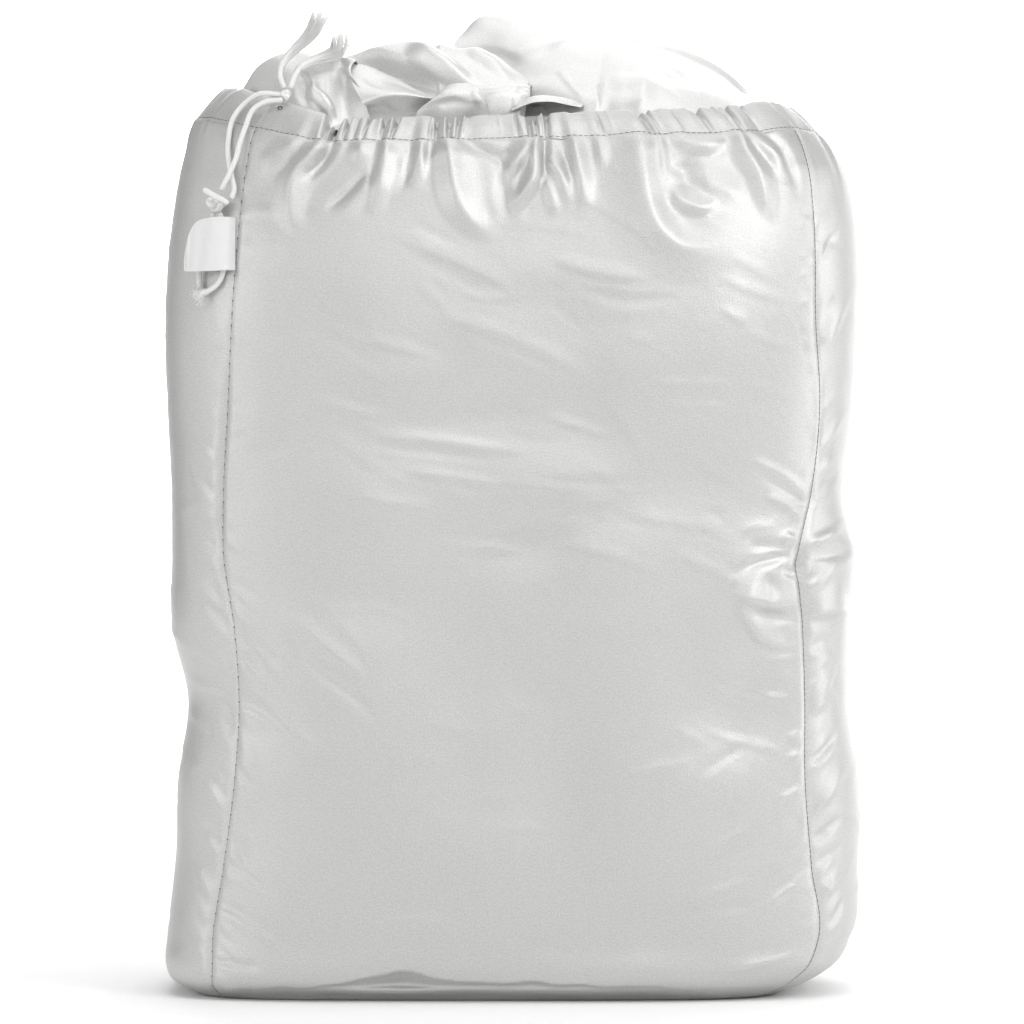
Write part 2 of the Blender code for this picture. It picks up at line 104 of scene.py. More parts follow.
# The front's folds: height, widths of the left and right flanks, and the points each crest runs through.
# Left and right are those of a fold that runs downwards; where one runs from left to right, its right flank
# is the upper one. A negative height is a trough. A last number, where there is one, is how far the crest is
# rounded.
FOLDS = (
    (3.6, 5, 6, ((-83.4, 394), (-84, 384), (-89, 377), (-95, 370.6), (-98.6, 364), (-99.6, 356),
                 (-98, 349), (-94, 345), (-87, 347))),
    (-4.6, 1.8, 4.0, ((-80.6, 393), (-80.8, 383), (-84.4, 376), (-89.6, 369.4), (-94, 362))),
    (1.8, 4, 4, ((-96, 385), (-103.6, 377.4), (-113.2, 366.5))),
    (-1.4, 1.6, 1.8, ((-64.2, 371), (-73.8, 360), (-84.3, 351))),
    (1.0, 3, 3, ((-60, 368), (-70, 356), (-80, 347))),
    (2.4, 3.2, 3.6, ((-55.6, 386), (-57.2, 372), (-59.8, 358), (-62.4, 346))),
    (-1.8, 1.6, 1.8, ((-59, 388), (-60.6, 376), (-64, 360))),
    (1.6, 2.6, 2.4, ((-66.5, 388), (-67.5, 380), (-69, 370))),
    (-1.6, 2, 2, ((-44.6, 386), (-46.2, 371), (-51, 357))),
    (2.0, 2.4, 2.2, ((-40.2, 388), (-41.0, 371), (-43.5, 358))),
    (-1.7, 1.6, 1.8, ((-34.2, 388), (-36, 380), (-39.5, 372))),
    (3.6, 5, 8, ((-29, 394), (-28.4, 384), (-27.2, 372), (-25.4, 360), (-21, 350), (-11.5, 342.6),
                 (-1, 346.5)), 1.3),
    (-1.8, 5, 2.4, ((-4, 382), (-3.4, 368), (-3, 354), (-1, 346))),
    (-2.2, 4, 3, ((-25, 388), (-16, 381), (-6, 376), (1, 372))),
    (2.6, 4.5, 2.2, ((8.6, 390), (7.4, 382), (0.4, 370.4), (-5, 361))),
    (3.8, 4.0, 2.4, ((13.0, 390), (10.6, 378.5), (9.6, 366), (4.2, 355.5), (1.8, 344))),
    (-3.4, 1.2, 1.4, ((14.6, 392), (14.3, 378), (15.6, 367))),
    (-1.4, 2.5, 2.2, ((7.0, 377), (4.4, 366), (-0.4, 354))),
    (2.8, 1.8, 4.5, ((15.8, 380), (17.4, 373), (21, 367.5), (23, 360), (23.6, 350))),
    (1.8, 1.8, 2.2, ((14.4, 369), (18.0, 355), (19.0, 346))),
    (2.4, 2.4, 4.0, ((26.6, 388), (29.2, 372), (31.6, 356), (30, 346))),
    (-1.6, 3, 2.2, ((22.4, 386), (25.0, 373), (27.4, 360))),
    (3.4, 13, 6.5, ((55, 394), (57, 380), (58, 368), (60, 356), (64, 345), (71, 337.5), (80, 335),
                    (90, 338), (98, 346)), 1.6),
    (1.3, 3.0, 2.0, ((65.4, 386), (67, 372), (67.8, 359))),
    (1.6, 3.0, 8, ((70, 364), (75, 356), (84, 353.6), (94, 358))),
    (-2.0, 6, 8, ((76, 378), (79, 364), (86, 353))),
    (3.0, 4, 4, ((100.2, 392), (104, 379), (109.6, 369), (112.6, 358), (115.5, 344))),
    (2.2, 3, 3, ((101, 391), (110.6, 383), (118.5, 377), (121.6, 366))),
    (2.0, 3.2, 4, ((72, 389), (80.3, 382.2), (92, 383.4), (100, 388))),
    (-1.8, 3, 3.5, ((106.5, 392), (117, 385), (124.6, 372), (128.6, 356))),
    (0.8, 4, 6, ((82, 366), (94, 362), (108, 355))),
    (1.6, 2.5, 2.5, ((37, 389), (40, 378), (41, 366))),
    # the pillow at the right seam's pinch, its nicks and the facets above it
    (3.6, 4, 19, ((95, 183), (106, 178.4), (118, 177), (131, 177))),
    (-1.6, 1.7, 1.7, ((100, 192), (110, 196), (120, 198), (130, 198.4))),
    (2.4, 2.2, 10, ((98, 181), (104.5, 168.5), (110.3, 161), (118, 158.6), (130, 160))),
    (-1.6, 2.4, 2.4, ((104, 172), (118, 171), (131, 170))),
    (-1.2, 3, 3, ((113.4, 191), (114.6, 184), (116, 176))),
    (-2.2, 1.1, 1.3, ((119, 192.4), (124, 191), (130, 189.8))),
    (-1.6, 0.9, 0.9, ((124, 200.9), (127, 200.5), (131, 200.4))),
    (1.5, 2.4, 1.8, ((119, 207.6), (124, 206), (130, 203.4))),
    (-1.1, 3, 3, ((104, 203.5), (116, 202.4), (128, 201.6))),
    (-1.0, 1.4, 1.6, ((110, 155.4), (120, 155.6), (131, 156.2))),
)

# The right gusset's folds by the seam, across from the seam and up, in the same columns
GUSSET_FOLDS = (
    (2.2, 2.2, 3, ((0, 202), (10, 206.5), (24, 211))),
    (-1.4, 3, 3, ((0, 199), (14, 200.5), (30, 202))),
    (3.4, 4, 20, ((-1, 173), (14, 174), (32, 176))),
    (-1.5, 1.7, 1.7, ((0, 196.6), (14, 198), (32, 200.6))),
    (-1.6, 1.8, 2, ((0, 168), (14, 169.6), (30, 171))),
    (-1.6, 2, 2.4, ((0, 153), (9, 159), (26, 165))),
    (2.2, 4, 8, ((1, 128), (10, 140), (22, 152))),
    (-1.4, 1.8, 2, ((0, 104), (10, 112), (22, 124))),
    (1.6, 3, 5, ((1, 84), (12, 94), (26, 104))),
    (-1.6, 1.6, 2, ((1, 71), (10, 76), (22, 84))),
    (-1.2, 1.6, 2, ((1, 60), (12, 65), (24, 71))),
    (1.4, 2, 4, ((2, 44), (11, 53), (22, 60))),
    (-1.4, 1.6, 2, ((4, 30), (12, 40), (20, 50))),
    (-1.0, 1.8, 2, ((1, 226), (12, 232), (24, 236))),
    (1.2, 3, 4, ((1, 244), (14, 256), (26, 262))),
    (1.4, 4, 5, ((3, 288), (14, 306), (26, 316))),
    (-1.0, 2, 2, ((2, 330), (12, 342), (20, 348))),
)

# Long shallow creases pressed into the front, in the same columns
CREASES = (
    (1.5, 1.5, 4.2, ((-67, 251), (-40, 249.6), (-12, 246), (10, 243.6))),
    (-0.8, 1.4, 1.6, ((-58, 246.6), (-34, 244), (-8, 240.6))),
    (1.1, 1.4, 3.4, ((-46, 236), (-24, 232.4), (0, 228))),
    (-0.5, 1.2, 1.4, ((-40, 232.6), (-20, 228.6), (2, 225))),
    (0.7, 1.6, 4.4, ((-44, 202.6), (-22, 202), (-4, 201), (9, 200))),
    (0.5, 0.9, 2.0, ((57, 275), (78, 274.6), (100, 275))),
    (0.4, 0.8, 1.8, ((62, 265.4), (80, 264.4), (99, 265))),
    (0.5, 0.9, 2.0, ((59, 257.6), (76, 258.4), (96, 257.4))),
    (0.77, 2.6, 7.0, ((-56, 341), (-32, 332), (-12, 323), (6, 311))),
    (-0.42, 2.4, 3.4, ((-48, 332), (-26, 322), (-6, 311))),
    (0.63, 2.4, 6.0, ((-32, 305), (-8, 297), (16, 287), (42, 273))),
    (-0.35, 2.2, 3.0, ((-24, 297), (0, 289), (24, 278))),
    (0.8, 2.2, 6.0, ((14, 331), (36, 324), (64, 321))),
    (-0.5, 2.6, 3.6, ((26, 318), (50, 311), (78, 313))),
    (0.42, 2.0, 4.4, ((-70, 296), (-50, 290), (-30, 287))),
    (0.5, 2.0, 4.0, ((10, 262), (34, 255), (54, 250))),
    (0.6, 2.0, 4.4, ((-74, 226), (-50, 221), (-26, 219))),
    (0.9, 1.6, 3.4, ((-90, 268), (-70, 262), (-52, 260))),
    (-0.83, 2.2, 2.6, ((-104, 172), (-96, 159), (-88, 149.4), (-75.8, 140.6), (-63, 129.6),
                       (-55.8, 113.7))),
    (0.9, 2.4, 5.0, ((-106, 180), (-94, 168), (-84, 159.4), (-72, 150), (-60, 140))),
    (-0.9, 0.9, 1.1, ((-120, 154), (-111.9, 144.8), (-102, 131.4), (-90.7, 121), (-78.2, 108.8),
                      (-70.6, 103.6))),
    (-0.83, 0.8, 1.0, ((-122, 163), (-113, 153.4), (-101, 136.4), (-88.2, 123.8), (-80.6, 113.8))),
    (0.75, 1.2, 1.2, ((-120, 148), (-108, 135), (-98, 124), (-86, 114.6), (-74, 105))),
    (-0.83, 0.9, 1.1, ((-121, 134), (-111.9, 129.8), (-103, 122.4), (-90.6, 111))),
    (0.68, 1.2, 1.4, ((-121, 130.6), (-110, 125.6), (-100, 117), (-91, 107))),
    (-0.68, 0.9, 1.1, ((-122, 165.4), (-108, 155), (-100.6, 146))),
    (-0.68, 0.9, 1.1, ((-122.4, 104), (-114.4, 96), (-105.6, 87.5), (-85.6, 80))),
    (0.6, 1.2, 1.4, ((-122.4, 100), (-114, 91.6), (-104, 83.6), (-92, 78.6))),
    (-0.68, 0.8, 1.0, ((-125, 89), (-118, 81), (-111.6, 71))),
    (-0.6, 0.8, 1.0, ((-128.6, 74), (-120.6, 66), (-117.6, 59.6))),
    (-0.83, 0.9, 1.1, ((-131, 62.8), (-122, 58.8), (-111.9, 51.3), (-103, 45))),
    (0.6, 1.2, 1.6, ((-131, 58), (-120, 53.4), (-110, 46))),
    (-0.83, 0.9, 1.1, ((-132.6, 45.4), (-122, 40), (-108, 31.4), (-93, 21.4))),
    (0.68, 1.2, 1.8, ((-132.6, 41), (-120, 34.4), (-106, 26.4))),
    (-1.12, 1.2, 1.6, ((-132.6, 18), (-122, 16.6), (-109, 15.2))),
    (-0.54, 1.8, 2.2, ((57, 66.4), (78.8, 68.7), (93.5, 71.8), (106.2, 79), (115, 82.4))),
    (0.54, 1.6, 3.6, ((60, 60), (80, 61.6), (96, 65), (112, 72))),
    (-0.54, 1.6, 1.8, ((64, 48.4), (76.6, 50.7), (92, 54), (108, 61), (128, 62.4))),
    (0.6, 1.4, 3.0, ((68, 44), (84, 46.4), (100, 51.6), (120, 56))),
    (-0.48, 1.6, 1.8, ((64, 35.6), (78.8, 40.1), (95.7, 42.2), (112.5, 44.4))),
    (0.78, 1.2, 1.6, ((104, 40), (114, 43.6), (124, 50.4), (134.6, 58.6))),
    (0.84, 1.4, 2.0, ((92, 12), (106, 16), (118, 18.6), (128, 21), (137, 25))),
    (-0.48, 1.4, 1.6, ((90, 19), (108, 22.6), (124, 27))),
    (0.32, 1.6, 3.0, ((84, 121), (102, 116), (124, 110))),
    (0.6, 1.6, 3.4, ((86, 143), (104, 138), (128, 132.6))),
    (1.1, 1.4, 2.6, ((104, 242), (120, 234), (135, 223))),
    (-0.9, 1.2, 1.4, ((108, 236), (122, 228), (134, 218))),
    (0.8, 1.4, 2.2, ((112, 226), (122, 221), (132, 214))),
)

# The scattered wrinkles on the front: how many there are, and between which places across
FAINT_WRINKLES = 130
FAINT_WRINKLES_ACROSS = (-112, 122)
NARROWEST_FLANK = 1.7  # millimetres, about what the mesh can still show
HEM_FOLDS_FROM = 330  # folds that start above this height hang from the hem
DRAWN_IN = 0.42  # the share by which the tightest gathers narrow the cloth's columns

# Where the front's lower edge turns under, along X and up, in millimetres, and how far it tucks in there
FOOT_EDGE = (
    (-150, 2), (-134, 3), (-118, 6), (-96, 7), (-76, 9), (-62, 13), (-50, 15), (-40, 13), (-24, 10),
    (20, 8.5), (64, 7.5), (80, 5.5), (92, 2.5), (110, 2), (150, 2),
)
FOOT_TUCK = 15

# Where the right seam is pinched in: how far up, its reach across and up, and its depth
PINCH_COLUMNS = ("z", "reach_x", "reach_z", "depth")
SEAM_PINCH = (194, 4.0, 6.0, 2.2)
# Where the cords lie on the front: left of the first place across and above the second up. Folds stand out
# no more than the third there.
CORDS_LIE = (-98, 306, 1.1)

# Short tension wrinkles that run off the seams. seam names the panel that starts there, side is 1 on that
# panel and -1 on the one before it, and slope is how far a wrinkle climbs as a share of its reach. The rest
# are in millimetres.
PUCKER_COLUMNS = ("seam", "side", "bottom", "top", "pitch", "reach", "slope", "height")
PUCKERS = (
    ("front", 1, 14, 120, 4.6, 15, -1.1, 0.55),
    ("front", 1, 120, 215, 8.0, 18, -0.85, 0.50),
    ("front", 1, 215, 350, 9.0, 8, -0.50, 0.25),
    ("front", -1, 16, 240, 8.0, 18, 1.1, 0.65),
    ("front", -1, 240, 350, 12.0, 10, 0.6, 0.25),
    ("right_gusset", -1, 14, 110, 6.0, 16, -0.22, 0.50),
    ("right_gusset", -1, 110, 350, 8.0, 10, -0.30, 0.35),
    ("right_gusset", 1, 14, 190, 9.0, 18, 0.85, 0.70),
    ("right_gusset", 1, 190, 350, 12.0, 14, 0.60, 0.50),
    ("back", -1, 14, 340, 9.0, 18, 0.80, 0.60),
    ("back", 1, 14, 340, 8.0, 22, -0.75, 0.60),
    ("left_gusset", -1, 14, 340, 8.0, 22, -0.75, 0.60),
    ("left_gusset", 1, 14, 340, 9.0, 18, 0.80, 0.60),
)

# Broad swells of the pack under the front: place, reach sideways and upwards, height
SWELL_COLUMNS = ("x", "z", "reach_x", "reach_z", "height")
SWELLS = (
    (-40, 300, 50, 40, 3.0), (60, 290, 50, 46, 4.0), (48, 160, 26, 50, 3.6), (-26, 160, 22, 50, -3.0),
    (-80, 130, 36, 50, 3.0), (70, 90, 46, 34, 3.6), (-20, 60, 50, 30, 2.8), (96, 180, 24, 26, 2.0),
    (-10, 262, 30, 14, -2.2), (-66, 220, 34, 24, 2.6), (20, 232, 36, 13, 1.8), (30, 300, 18, 18, -2.2),
    (-10, 300, 18, 14, 1.8), (-86, 300, 20, 28, -1.6), (96, 300, 20, 38, 2.0), (20, 90, 18, 38, -2.0),
    (4, 326, 22, 12, 1.8), (30, 268, 14, 22, -1.6), (-44, 276, 26, 11, 1.6), (74, 232, 22, 16, -1.8),
    (-8, 118, 18, 24, 1.8), (-60, 178, 22, 16, -1.6), (100, 130, 16, 22, -1.6), (-96, 80, 18, 22, -1.4),
    (0, 204, 26, 12, -1.8), (40, 200, 22, 16, 1.6), (-30, 30, 40, 12, 1.6), (60, 34, 30, 14, -1.6),
)


# ---- Numbers and curves


def named(columns, row):
    """A row's values under their columns' names."""
    return dict(zip(columns, row))


def through(at, values, wanted):
    """Values that run smoothly through rows of given ones."""
    at, values, wanted = (np.asarray(a, float) for a in (at, values, wanted))
    slopes = np.gradient(values, at, axis=0)
    k = np.clip(np.searchsorted(at, wanted, side="right") - 1, 0, len(at) - 2)
    span = at[k + 1] - at[k]
    t = (wanted - at[k]) / span
    shape = (-1,) + (1,) * (values.ndim - 1)
    t, span = t.reshape(shape), span.reshape(shape)
    return (
        (2 * t ** 3 - 3 * t ** 2 + 1) * values[k]
        + (t ** 3 - 2 * t ** 2 + t) * span * slopes[k]
        + (3 * t ** 2 - 2 * t ** 3) * values[k + 1]
        + (t ** 3 - t ** 2) * span * slopes[k + 1]
    )


def running(steps):
    """Running length, from 0, over steps of the given lengths."""
    return np.concatenate([[0], np.cumsum(steps)])


def length_along(line):
    """Running length along a line of points."""
    return running(np.linalg.norm(np.diff(line, axis=0), axis=1))


def read_off(line, along, wanted):
    """The points of a line at wanted lengths, where along is each point's own length."""
    return np.stack([np.interp(wanted, along, line[:, k]) for k in range(line.shape[1])], axis=1)


def route(points, count):
    """count points evenly along a smooth curve through the given ones."""
    points = np.array(points, float)
    at = length_along(points)
    fine = through(at, points, np.linspace(0, at[-1], 12 * len(points)))
    along = length_along(fine)
    return read_off(fine, along, np.linspace(0, along[-1], count))


def ripples(rng, rows, columns, tall, wide):
    """Smooth random heights, about -1 to 1, closed sideways: bumps so many rows tall and columns wide."""
    down, round_ = max(4, round(rows / tall)), max(4, round(columns / wide))
    knots = rng.normal(0, 0.6, (down + 1, round_))
    knots = np.concatenate([knots[:, -2:], knots, knots[:, :2]], axis=1)
    across = through(np.arange(-2, round_ + 2), knots.T, np.arange(columns) * round_ / columns).T
    return through(np.arange(down + 1), across, np.linspace(0, down, rows))


def beside(x, z, points):
    """For each place: its signed distance from a line through the points, and its share of the way."""
    line = route(points, 6 * len(points))
    best = np.full(x.shape, 1e9)
    side = np.zeros(x.shape)
    share = np.zeros(x.shape)
    steps = len(line) - 1
    for i in range(steps):
        ax, az = line[i]
        wx, wz = line[i + 1] - line[i]
        length = wx * wx + wz * wz
        t = np.clip(((x - ax) * wx + (z - az) * wz) / length, 0, 1)
        dx, dz = x - ax - t * wx, z - az - t * wz
        away = np.hypot(dx, dz)
        near = away < best
        best = np.where(near, away, best)
        side = np.where(near, np.sign(wx * dz - wz * dx), side)
        share = np.where(near, (i + t) / steps, share)
    return best * side, share


# ---- The shape of the bag's wall


def arc(section, start, end, count):
    """count points along a section's outline from one angle up to the next."""
    centre = (section["left"] + section["right"]) / 2
    half_width = (section["right"] - section["left"]) / 2
    power = 2 / section["squareness"]
    angles = np.linspace(start, end, 1200)
    cos, sin = np.cos(angles), np.sin(angles)
    x = centre + half_width * np.sign(cos) * np.abs(cos) ** power
    y = section["half_depth"] * np.sign(sin) * np.abs(sin) ** power
    along = running(np.hypot(np.diff(x), np.diff(y)))
    return read_off(np.stack([x, y], axis=1), along, np.linspace(0, along[-1], count + 1)[:-1])


def section_ring(section):
    """A section's points with its height: front, right gusset, back and left gusset."""
    centre = (section["left"] + section["right"]) / 2
    half_width = (section["right"] - section["left"]) / 2

    def angle(seam):
        """The angle at which the section's front side passes a seam."""
        reach = (seam - centre) / half_width
        return -math.acos(math.copysign(abs(reach) ** (section["squareness"] / 2), reach))

    left, right = angle(section["left_seam"]), angle(section["right_seam"])
    corners = (left, right, -right, -left, left + 2 * math.pi)
    flat = np.concatenate([arc(section, corners[i], corners[i + 1], n) for i, (_, n) in enumerate(PANELS)])
    share = max(0.0, (section["height"] - RISE_STARTS) / (SECTIONS[-1][0] - RISE_STARTS))
    degrees = np.degrees(np.arctan2(flat[:, 1], flat[:, 0])) % 360
    table = np.array(RIM_RISE)
    rise = np.interp(degrees, table[:, 0], table[:, 1], period=360) * share ** 1.5
    return np.concatenate([flat, (section["height"] + rise)[:, None]], axis=1) * MM


def facing(grid, closed=True):
    """Unit normals of a grid."""
    up = np.gradient(grid, axis=0)
    along = np.roll(grid, -1, axis=1) - np.roll(grid, 1, axis=1) if closed else np.gradient(grid, axis=1)
    out = np.cross(along, up)
    return out / np.linalg.norm(out, axis=2)[:, :, None]


def spans():
    """Each panel's first and last column."""
    found, first = {}, 0
    for name, count in PANELS:
        found[name] = (first, first + count)
        first += count
    return found


COLUMNS = sum(count for _, count in PANELS)
COLUMN_PITCH = 1.13  # millimetres, about what a column of the front measures


def wall_base():
    """The smooth wall up to the hem's stitching, the ring of the hem's top edge, and each row's way up."""
    sections = [named(SECTION_COLUMNS, row) for row in SECTIONS]
    rings = np.array([section_ring(section) for section in sections])
    at = running(np.linalg.norm(np.diff(rings, axis=0), axis=2).mean(axis=1))
    stitched = [section["height"] for section in sections].index(STITCH_HEIGHT)
    fine = np.linspace(0, 1, 400)
    crowding = 1 + 0.9 * np.exp(-((1 - fine) / 0.14) ** 2) + 0.8 * np.exp(-(fine / 0.05) ** 2)
    crowded = running((crowding[1:] + crowding[:-1]) / 2)
    places = np.interp(np.linspace(0, 1, WALL_ROWS + 1), crowded / crowded[-1], fine)
    wall = through(at, rings, places * at[stitched])
    return wall, rings[-1], places * at[stitched]


def gather_strength(x_of_columns):
    """How tightly the cloth is gathered at each column of the hem, from 0 to 1."""
    strength = np.zeros(COLUMNS)
    for name, (first, last) in spans().items():
        if name == "front":
            for row in FRONT_GATHERS:
                gather = named(GATHER_COLUMNS, row)
                away = (x_of_columns[first:last] - gather["at"] * MM) / (gather["reach"] * MM)
                bump = gather["tightness"] * np.exp(-away ** 2)
                strength[first:last] = np.maximum(strength[first:last], bump)
        else:
            places = np.linspace(0, 1, last - first)
            wave = np.sin(places * 2 * math.pi * (last - first) / 24 + 2.2 * np.sin(places * 9))
            strength[first:last] = 0.75 * np.clip(wave, 0, 1) ** 1.5
    return strength


LINKS = (  # rows apart, columns apart, stiffness
    (0, 1, 1.0), (1, 0, 1.0), (1, 1, 0.35), (1, -1, 0.35), (0, 2, 0.10), (2, 0, 0.10), (0, 4, 0.05),
    (4, 0, 0.05),
)
OVERSHOOT = 1.6  # how much further than its links ask each point moves in a round


def settle(cloth, base, normals, spare_across, spare_up, slip, lift, low, high, rounds, closed=True):
    """Lets a grid of cloth take up its own length near a base shape, which makes it fold by itself.

    The spare lengths are shares by which the cloth is longer than the base. slip and lift say how firmly
    it is held along and away from the base, from 0 to 1, and low and high how far off the base it may go.
    """
    rows, columns = base.shape[:2]
    springs, weight = [], np.full((rows, columns), 1e-9)
    for down, over, stiffness in LINKS:
        if down >= rows:
            continue
        part = np.full((rows - down, columns), stiffness)
        if not closed and over > 0:
            part[:, -over:] = 0
        if not closed and over < 0:
            part[:, :-over] = 0
        gap = np.roll(base, -over, axis=1)[down:] - base[: rows - down]
        spare = (down * spare_up + abs(over) * spare_across) / (down + abs(over))
        rest = np.linalg.norm(gap, axis=2) * (1 + spare[: rows - down])
        springs.append((down, over, part, rest))
        weight[: rows - down] += part
        weight[down:] += np.roll(part, over, axis=1)
    share = (1 / weight)[:, :, None]
    slip, lift = slip[:, :, None], lift[:, :, None]
    low, high = low[:, :, None], high[:, :, None]
    for _ in range(rounds):
        moved = np.zeros_like(cloth)
        for down, over, part, rest in springs:
            head = np.roll(cloth, -over, axis=1)[down:] if over else cloth[down:]
            gap = head - cloth[: rows - down]
            length = np.sqrt(np.einsum("ijk,ijk->ij", gap, gap)) + 1e-12
            push = gap * (0.5 * part * (1 - rest / length))[:, :, None]
            moved[: rows - down] += push
            moved[down:] -= np.roll(push, over, axis=1) if over else push
        cloth = cloth + moved * share * OVERSHOOT
        off = cloth - base
        out = np.einsum("ijk,ijk->ij", off, normals)[:, :, None]
        along = off - out * normals
        cloth = base + along * (1 - slip) + normals * np.clip(out * (1 - lift), low, high)
    return cloth


def finer(grid):
    """The same grid with twice the rows and columns, closed sideways."""
    rows, columns = grid.shape[:2]
    tall = through(np.arange(rows), grid, np.arange(2 * rows - 1) / 2)
    wrapped = np.concatenate([tall[:, -2:], tall, tall[:, :3]], axis=1)
    wide = through(np.arange(-2, columns + 3), np.swapaxes(wrapped, 0, 1), np.arange(2 * columns) / 2)
    return np.swapaxes(wide, 0, 1)


def seam_distance():
    """Each column's distance from the nearest seam, in metres, at the pitch of the front's columns."""
    seams = [first for first, _ in spans().values()]
    columns = np.arange(COLUMNS)
    away = [np.minimum(abs(columns - seam), COLUMNS - abs(columns - seam)) for seam in seams]
    return np.min(away, axis=0) * COLUMN_PITCH * MM


def press(relief, across, up, points, height, left, right, open_top=False, crest=1.0, fades=0.5):
    """Adds one fold, or with a negative height one trough, along a line through the points.

    Its flanks are a little hollow, the wide ones more. crest is how far its bend is rounded, and fades the
    share of its length over which it runs out. Where two folds meet, the higher one shows; a trough is cut
    into what is there.
    """
    margin = 1.1 * max(left, right) + 2 * crest
    lowest, highest = np.min(points, axis=0) - margin, np.max(points, axis=0) + margin
    near = (across > lowest[0]) & (across < highest[0]) & (up > lowest[1]) & (up < highest[1])
    if not near.any():
        return
    away, share = beside(across[near], up[near], points)
    width = np.where(away > 0, right, left)
    start = 1.0 if open_top else np.clip(share / 0.3, 0, 1)
    ends = start * np.clip((1 - share) / fades, 0, 1)
    ends = ends * ends * (3 - 2 * ends)
    width = width * (0.55 + 0.45 * ends)
    flank = np.clip(1 - (np.sqrt(away ** 2 + crest ** 2) - crest) / width, 0, 1)
    flank **= np.clip(0.9 + width / 20, 1.2, 1.6)
    fold = height * ends * flank
    relief[near] = np.maximum(relief[near], fold) if height > 0 else relief[near] + fold


def folds_relief(x, z, folds, crest=1.0, broader=1.0, fades=0.5):
    """The folds' and troughs' own relief, before anything else is added to it."""
    relief = np.zeros(x.shape)
    for height, left, right, points, *bend in sorted(folds, key=lambda row: -row[0]):
        wider = broader if height > 0 and points[0][1] > HEM_FOLDS_FROM else 1.0
        left, right = max(left * wider, NARROWEST_FLANK), max(right * wider, NARROWEST_FLANK)
        open_top = points[0][1] > STITCH_HEIGHT - 5 or points[0][0] < -117
        press(relief, x, z, points, height * wider ** 0.5, left, right, open_top, *(bend or [crest]), fades)
    return relief


def softened(heights):
    """Heights on a grid, eased between neighbours as far as a bend in the cloth needs."""
    for axis in (0, 1):
        heights = (2 * heights + np.roll(heights, 1, axis) + np.roll(heights, -1, axis)) / 4
    return heights


def faint_wrinkles(x, z, seed, count, low, high):
    """Many shallow wrinkles that no seam pulls, mostly running across the cloth and down to the right."""
    rng = np.random.default_rng(seed)
    relief = np.zeros(x.shape)
    for _ in range(count):
        across, up, length = rng.uniform(low, high), rng.uniform(20, 352), rng.uniform(16, 64)
        lean = rng.normal(-14, 16) + 26 * (across > 60) * (up < 110)
        way = np.array((math.cos(math.radians(lean)), math.sin(math.radians(lean)))) * length / 2
        bow = np.array((-way[1], way[0])) * rng.normal(0, 0.12)
        middle = np.array((across, up))
        points = (middle - way, middle - way * 0.4 + bow, middle + way * 0.4 + bow, middle + way)
        height = rng.uniform(0.12, 0.36) * (1 if rng.random() < 0.65 else -1)
        press(relief, x, z, points, height, rng.uniform(1.4, 3.0), rng.uniform(2.0, 5.0))
    return relief


def front_relief(x, z, crease_depth, gather_breadth):
    """How far the front's folds, creases, wrinkles and swells stand out at places seen from the front."""
    relief = folds_relief(x, z, FOLDS, broader=gather_breadth)
    relief += folds_relief(x, z, CREASES, 0.9, fades=0.35) * crease_depth
    relief += faint_wrinkles(x, z, 41, FAINT_WRINKLES, *FAINT_WRINKLES_ACROSS)
    for row in SWELLS:
        swell = named(SWELL_COLUMNS, row)
        across, up = (x - swell["x"]) / swell["reach_x"], (z - swell["z"]) / swell["reach_z"]
        relief += swell["height"] * np.exp(-across ** 2 - up ** 2)
    return relief


def pucker_relief(rng, across, up, seams, round_bag):
    """The short wrinkles that run off each seam, in millimetres; across runs once round the bag."""
    relief = np.zeros(across.shape)
    for row in PUCKERS:
        pucker = named(PUCKER_COLUMNS, row)
        height = pucker["bottom"]
        while height < pucker["top"]:
            size = rng.uniform(0.45, 1.25)
            reach = pucker["reach"] * size
            bend = rng.uniform(-0.22, 0.22)
            slope = pucker["slope"] + rng.uniform(-0.25, 0.25)
            points = [
                (pucker["side"] * reach * t, height + slope * reach * t + bend * reach * t * (1 - t))
                for t in (0.0, 0.34, 0.67, 1.0)
            ]
            width = rng.uniform(1.8, 2.9)
            local = (across - seams[pucker["seam"]] + round_bag / 2) % round_bag - round_bag / 2
            ridge = pucker["height"] * 1.5 * size * rng.choice((1.0, 1.0, -0.7))
            press(relief, local, up, points, ridge, width, width)
            height += pucker["pitch"] * rng.uniform(0.5, 1.5)
    return relief


def gusset_gathers(rng, strength, below_hem):
    """The smaller folds that hang from the hem round the gussets and the back."""
    rows, columns = below_hem.shape
    phase = np.cumsum(2 * math.pi * COLUMN_PITCH / (9.5 - 3.5 * strength[0]))
    lean = np.cumsum(ripples(rng, rows, columns, 40, 20) * 0.05, axis=0)
    reach = (22 + 14 * ripples(rng, 4, columns, 1, 12)[1:2]) * MM
    pleats = 1 - 2 * np.abs(np.sin((phase[None, :] + lean) / 2)) ** 0.8
    return 1.1 * pleats * (0.25 + strength) * np.exp(-(below_hem / np.maximum(reach, 6 * MM)) ** 2)


def drawn_in(grid, strength, near_top):
    """The grid with its columns drawn together where the hem gathers them."""
    drawn = grid.copy()
    for one, two in spans().values():
        columns = np.arange(one, two + 1) % COLUMNS
        for row in np.nonzero(near_top > 0.01)[0]:
            line = grid[row, columns]
            along = length_along(line)
            weight = 1 - DRAWN_IN * near_top[row] * strength[one:two]
            weight *= len(weight) / weight.sum()
            at = running(np.diff(along) * weight)
            at *= along[-1] / at[-1]
            drawn[row, columns] = read_off(line, along, at)
    return drawn


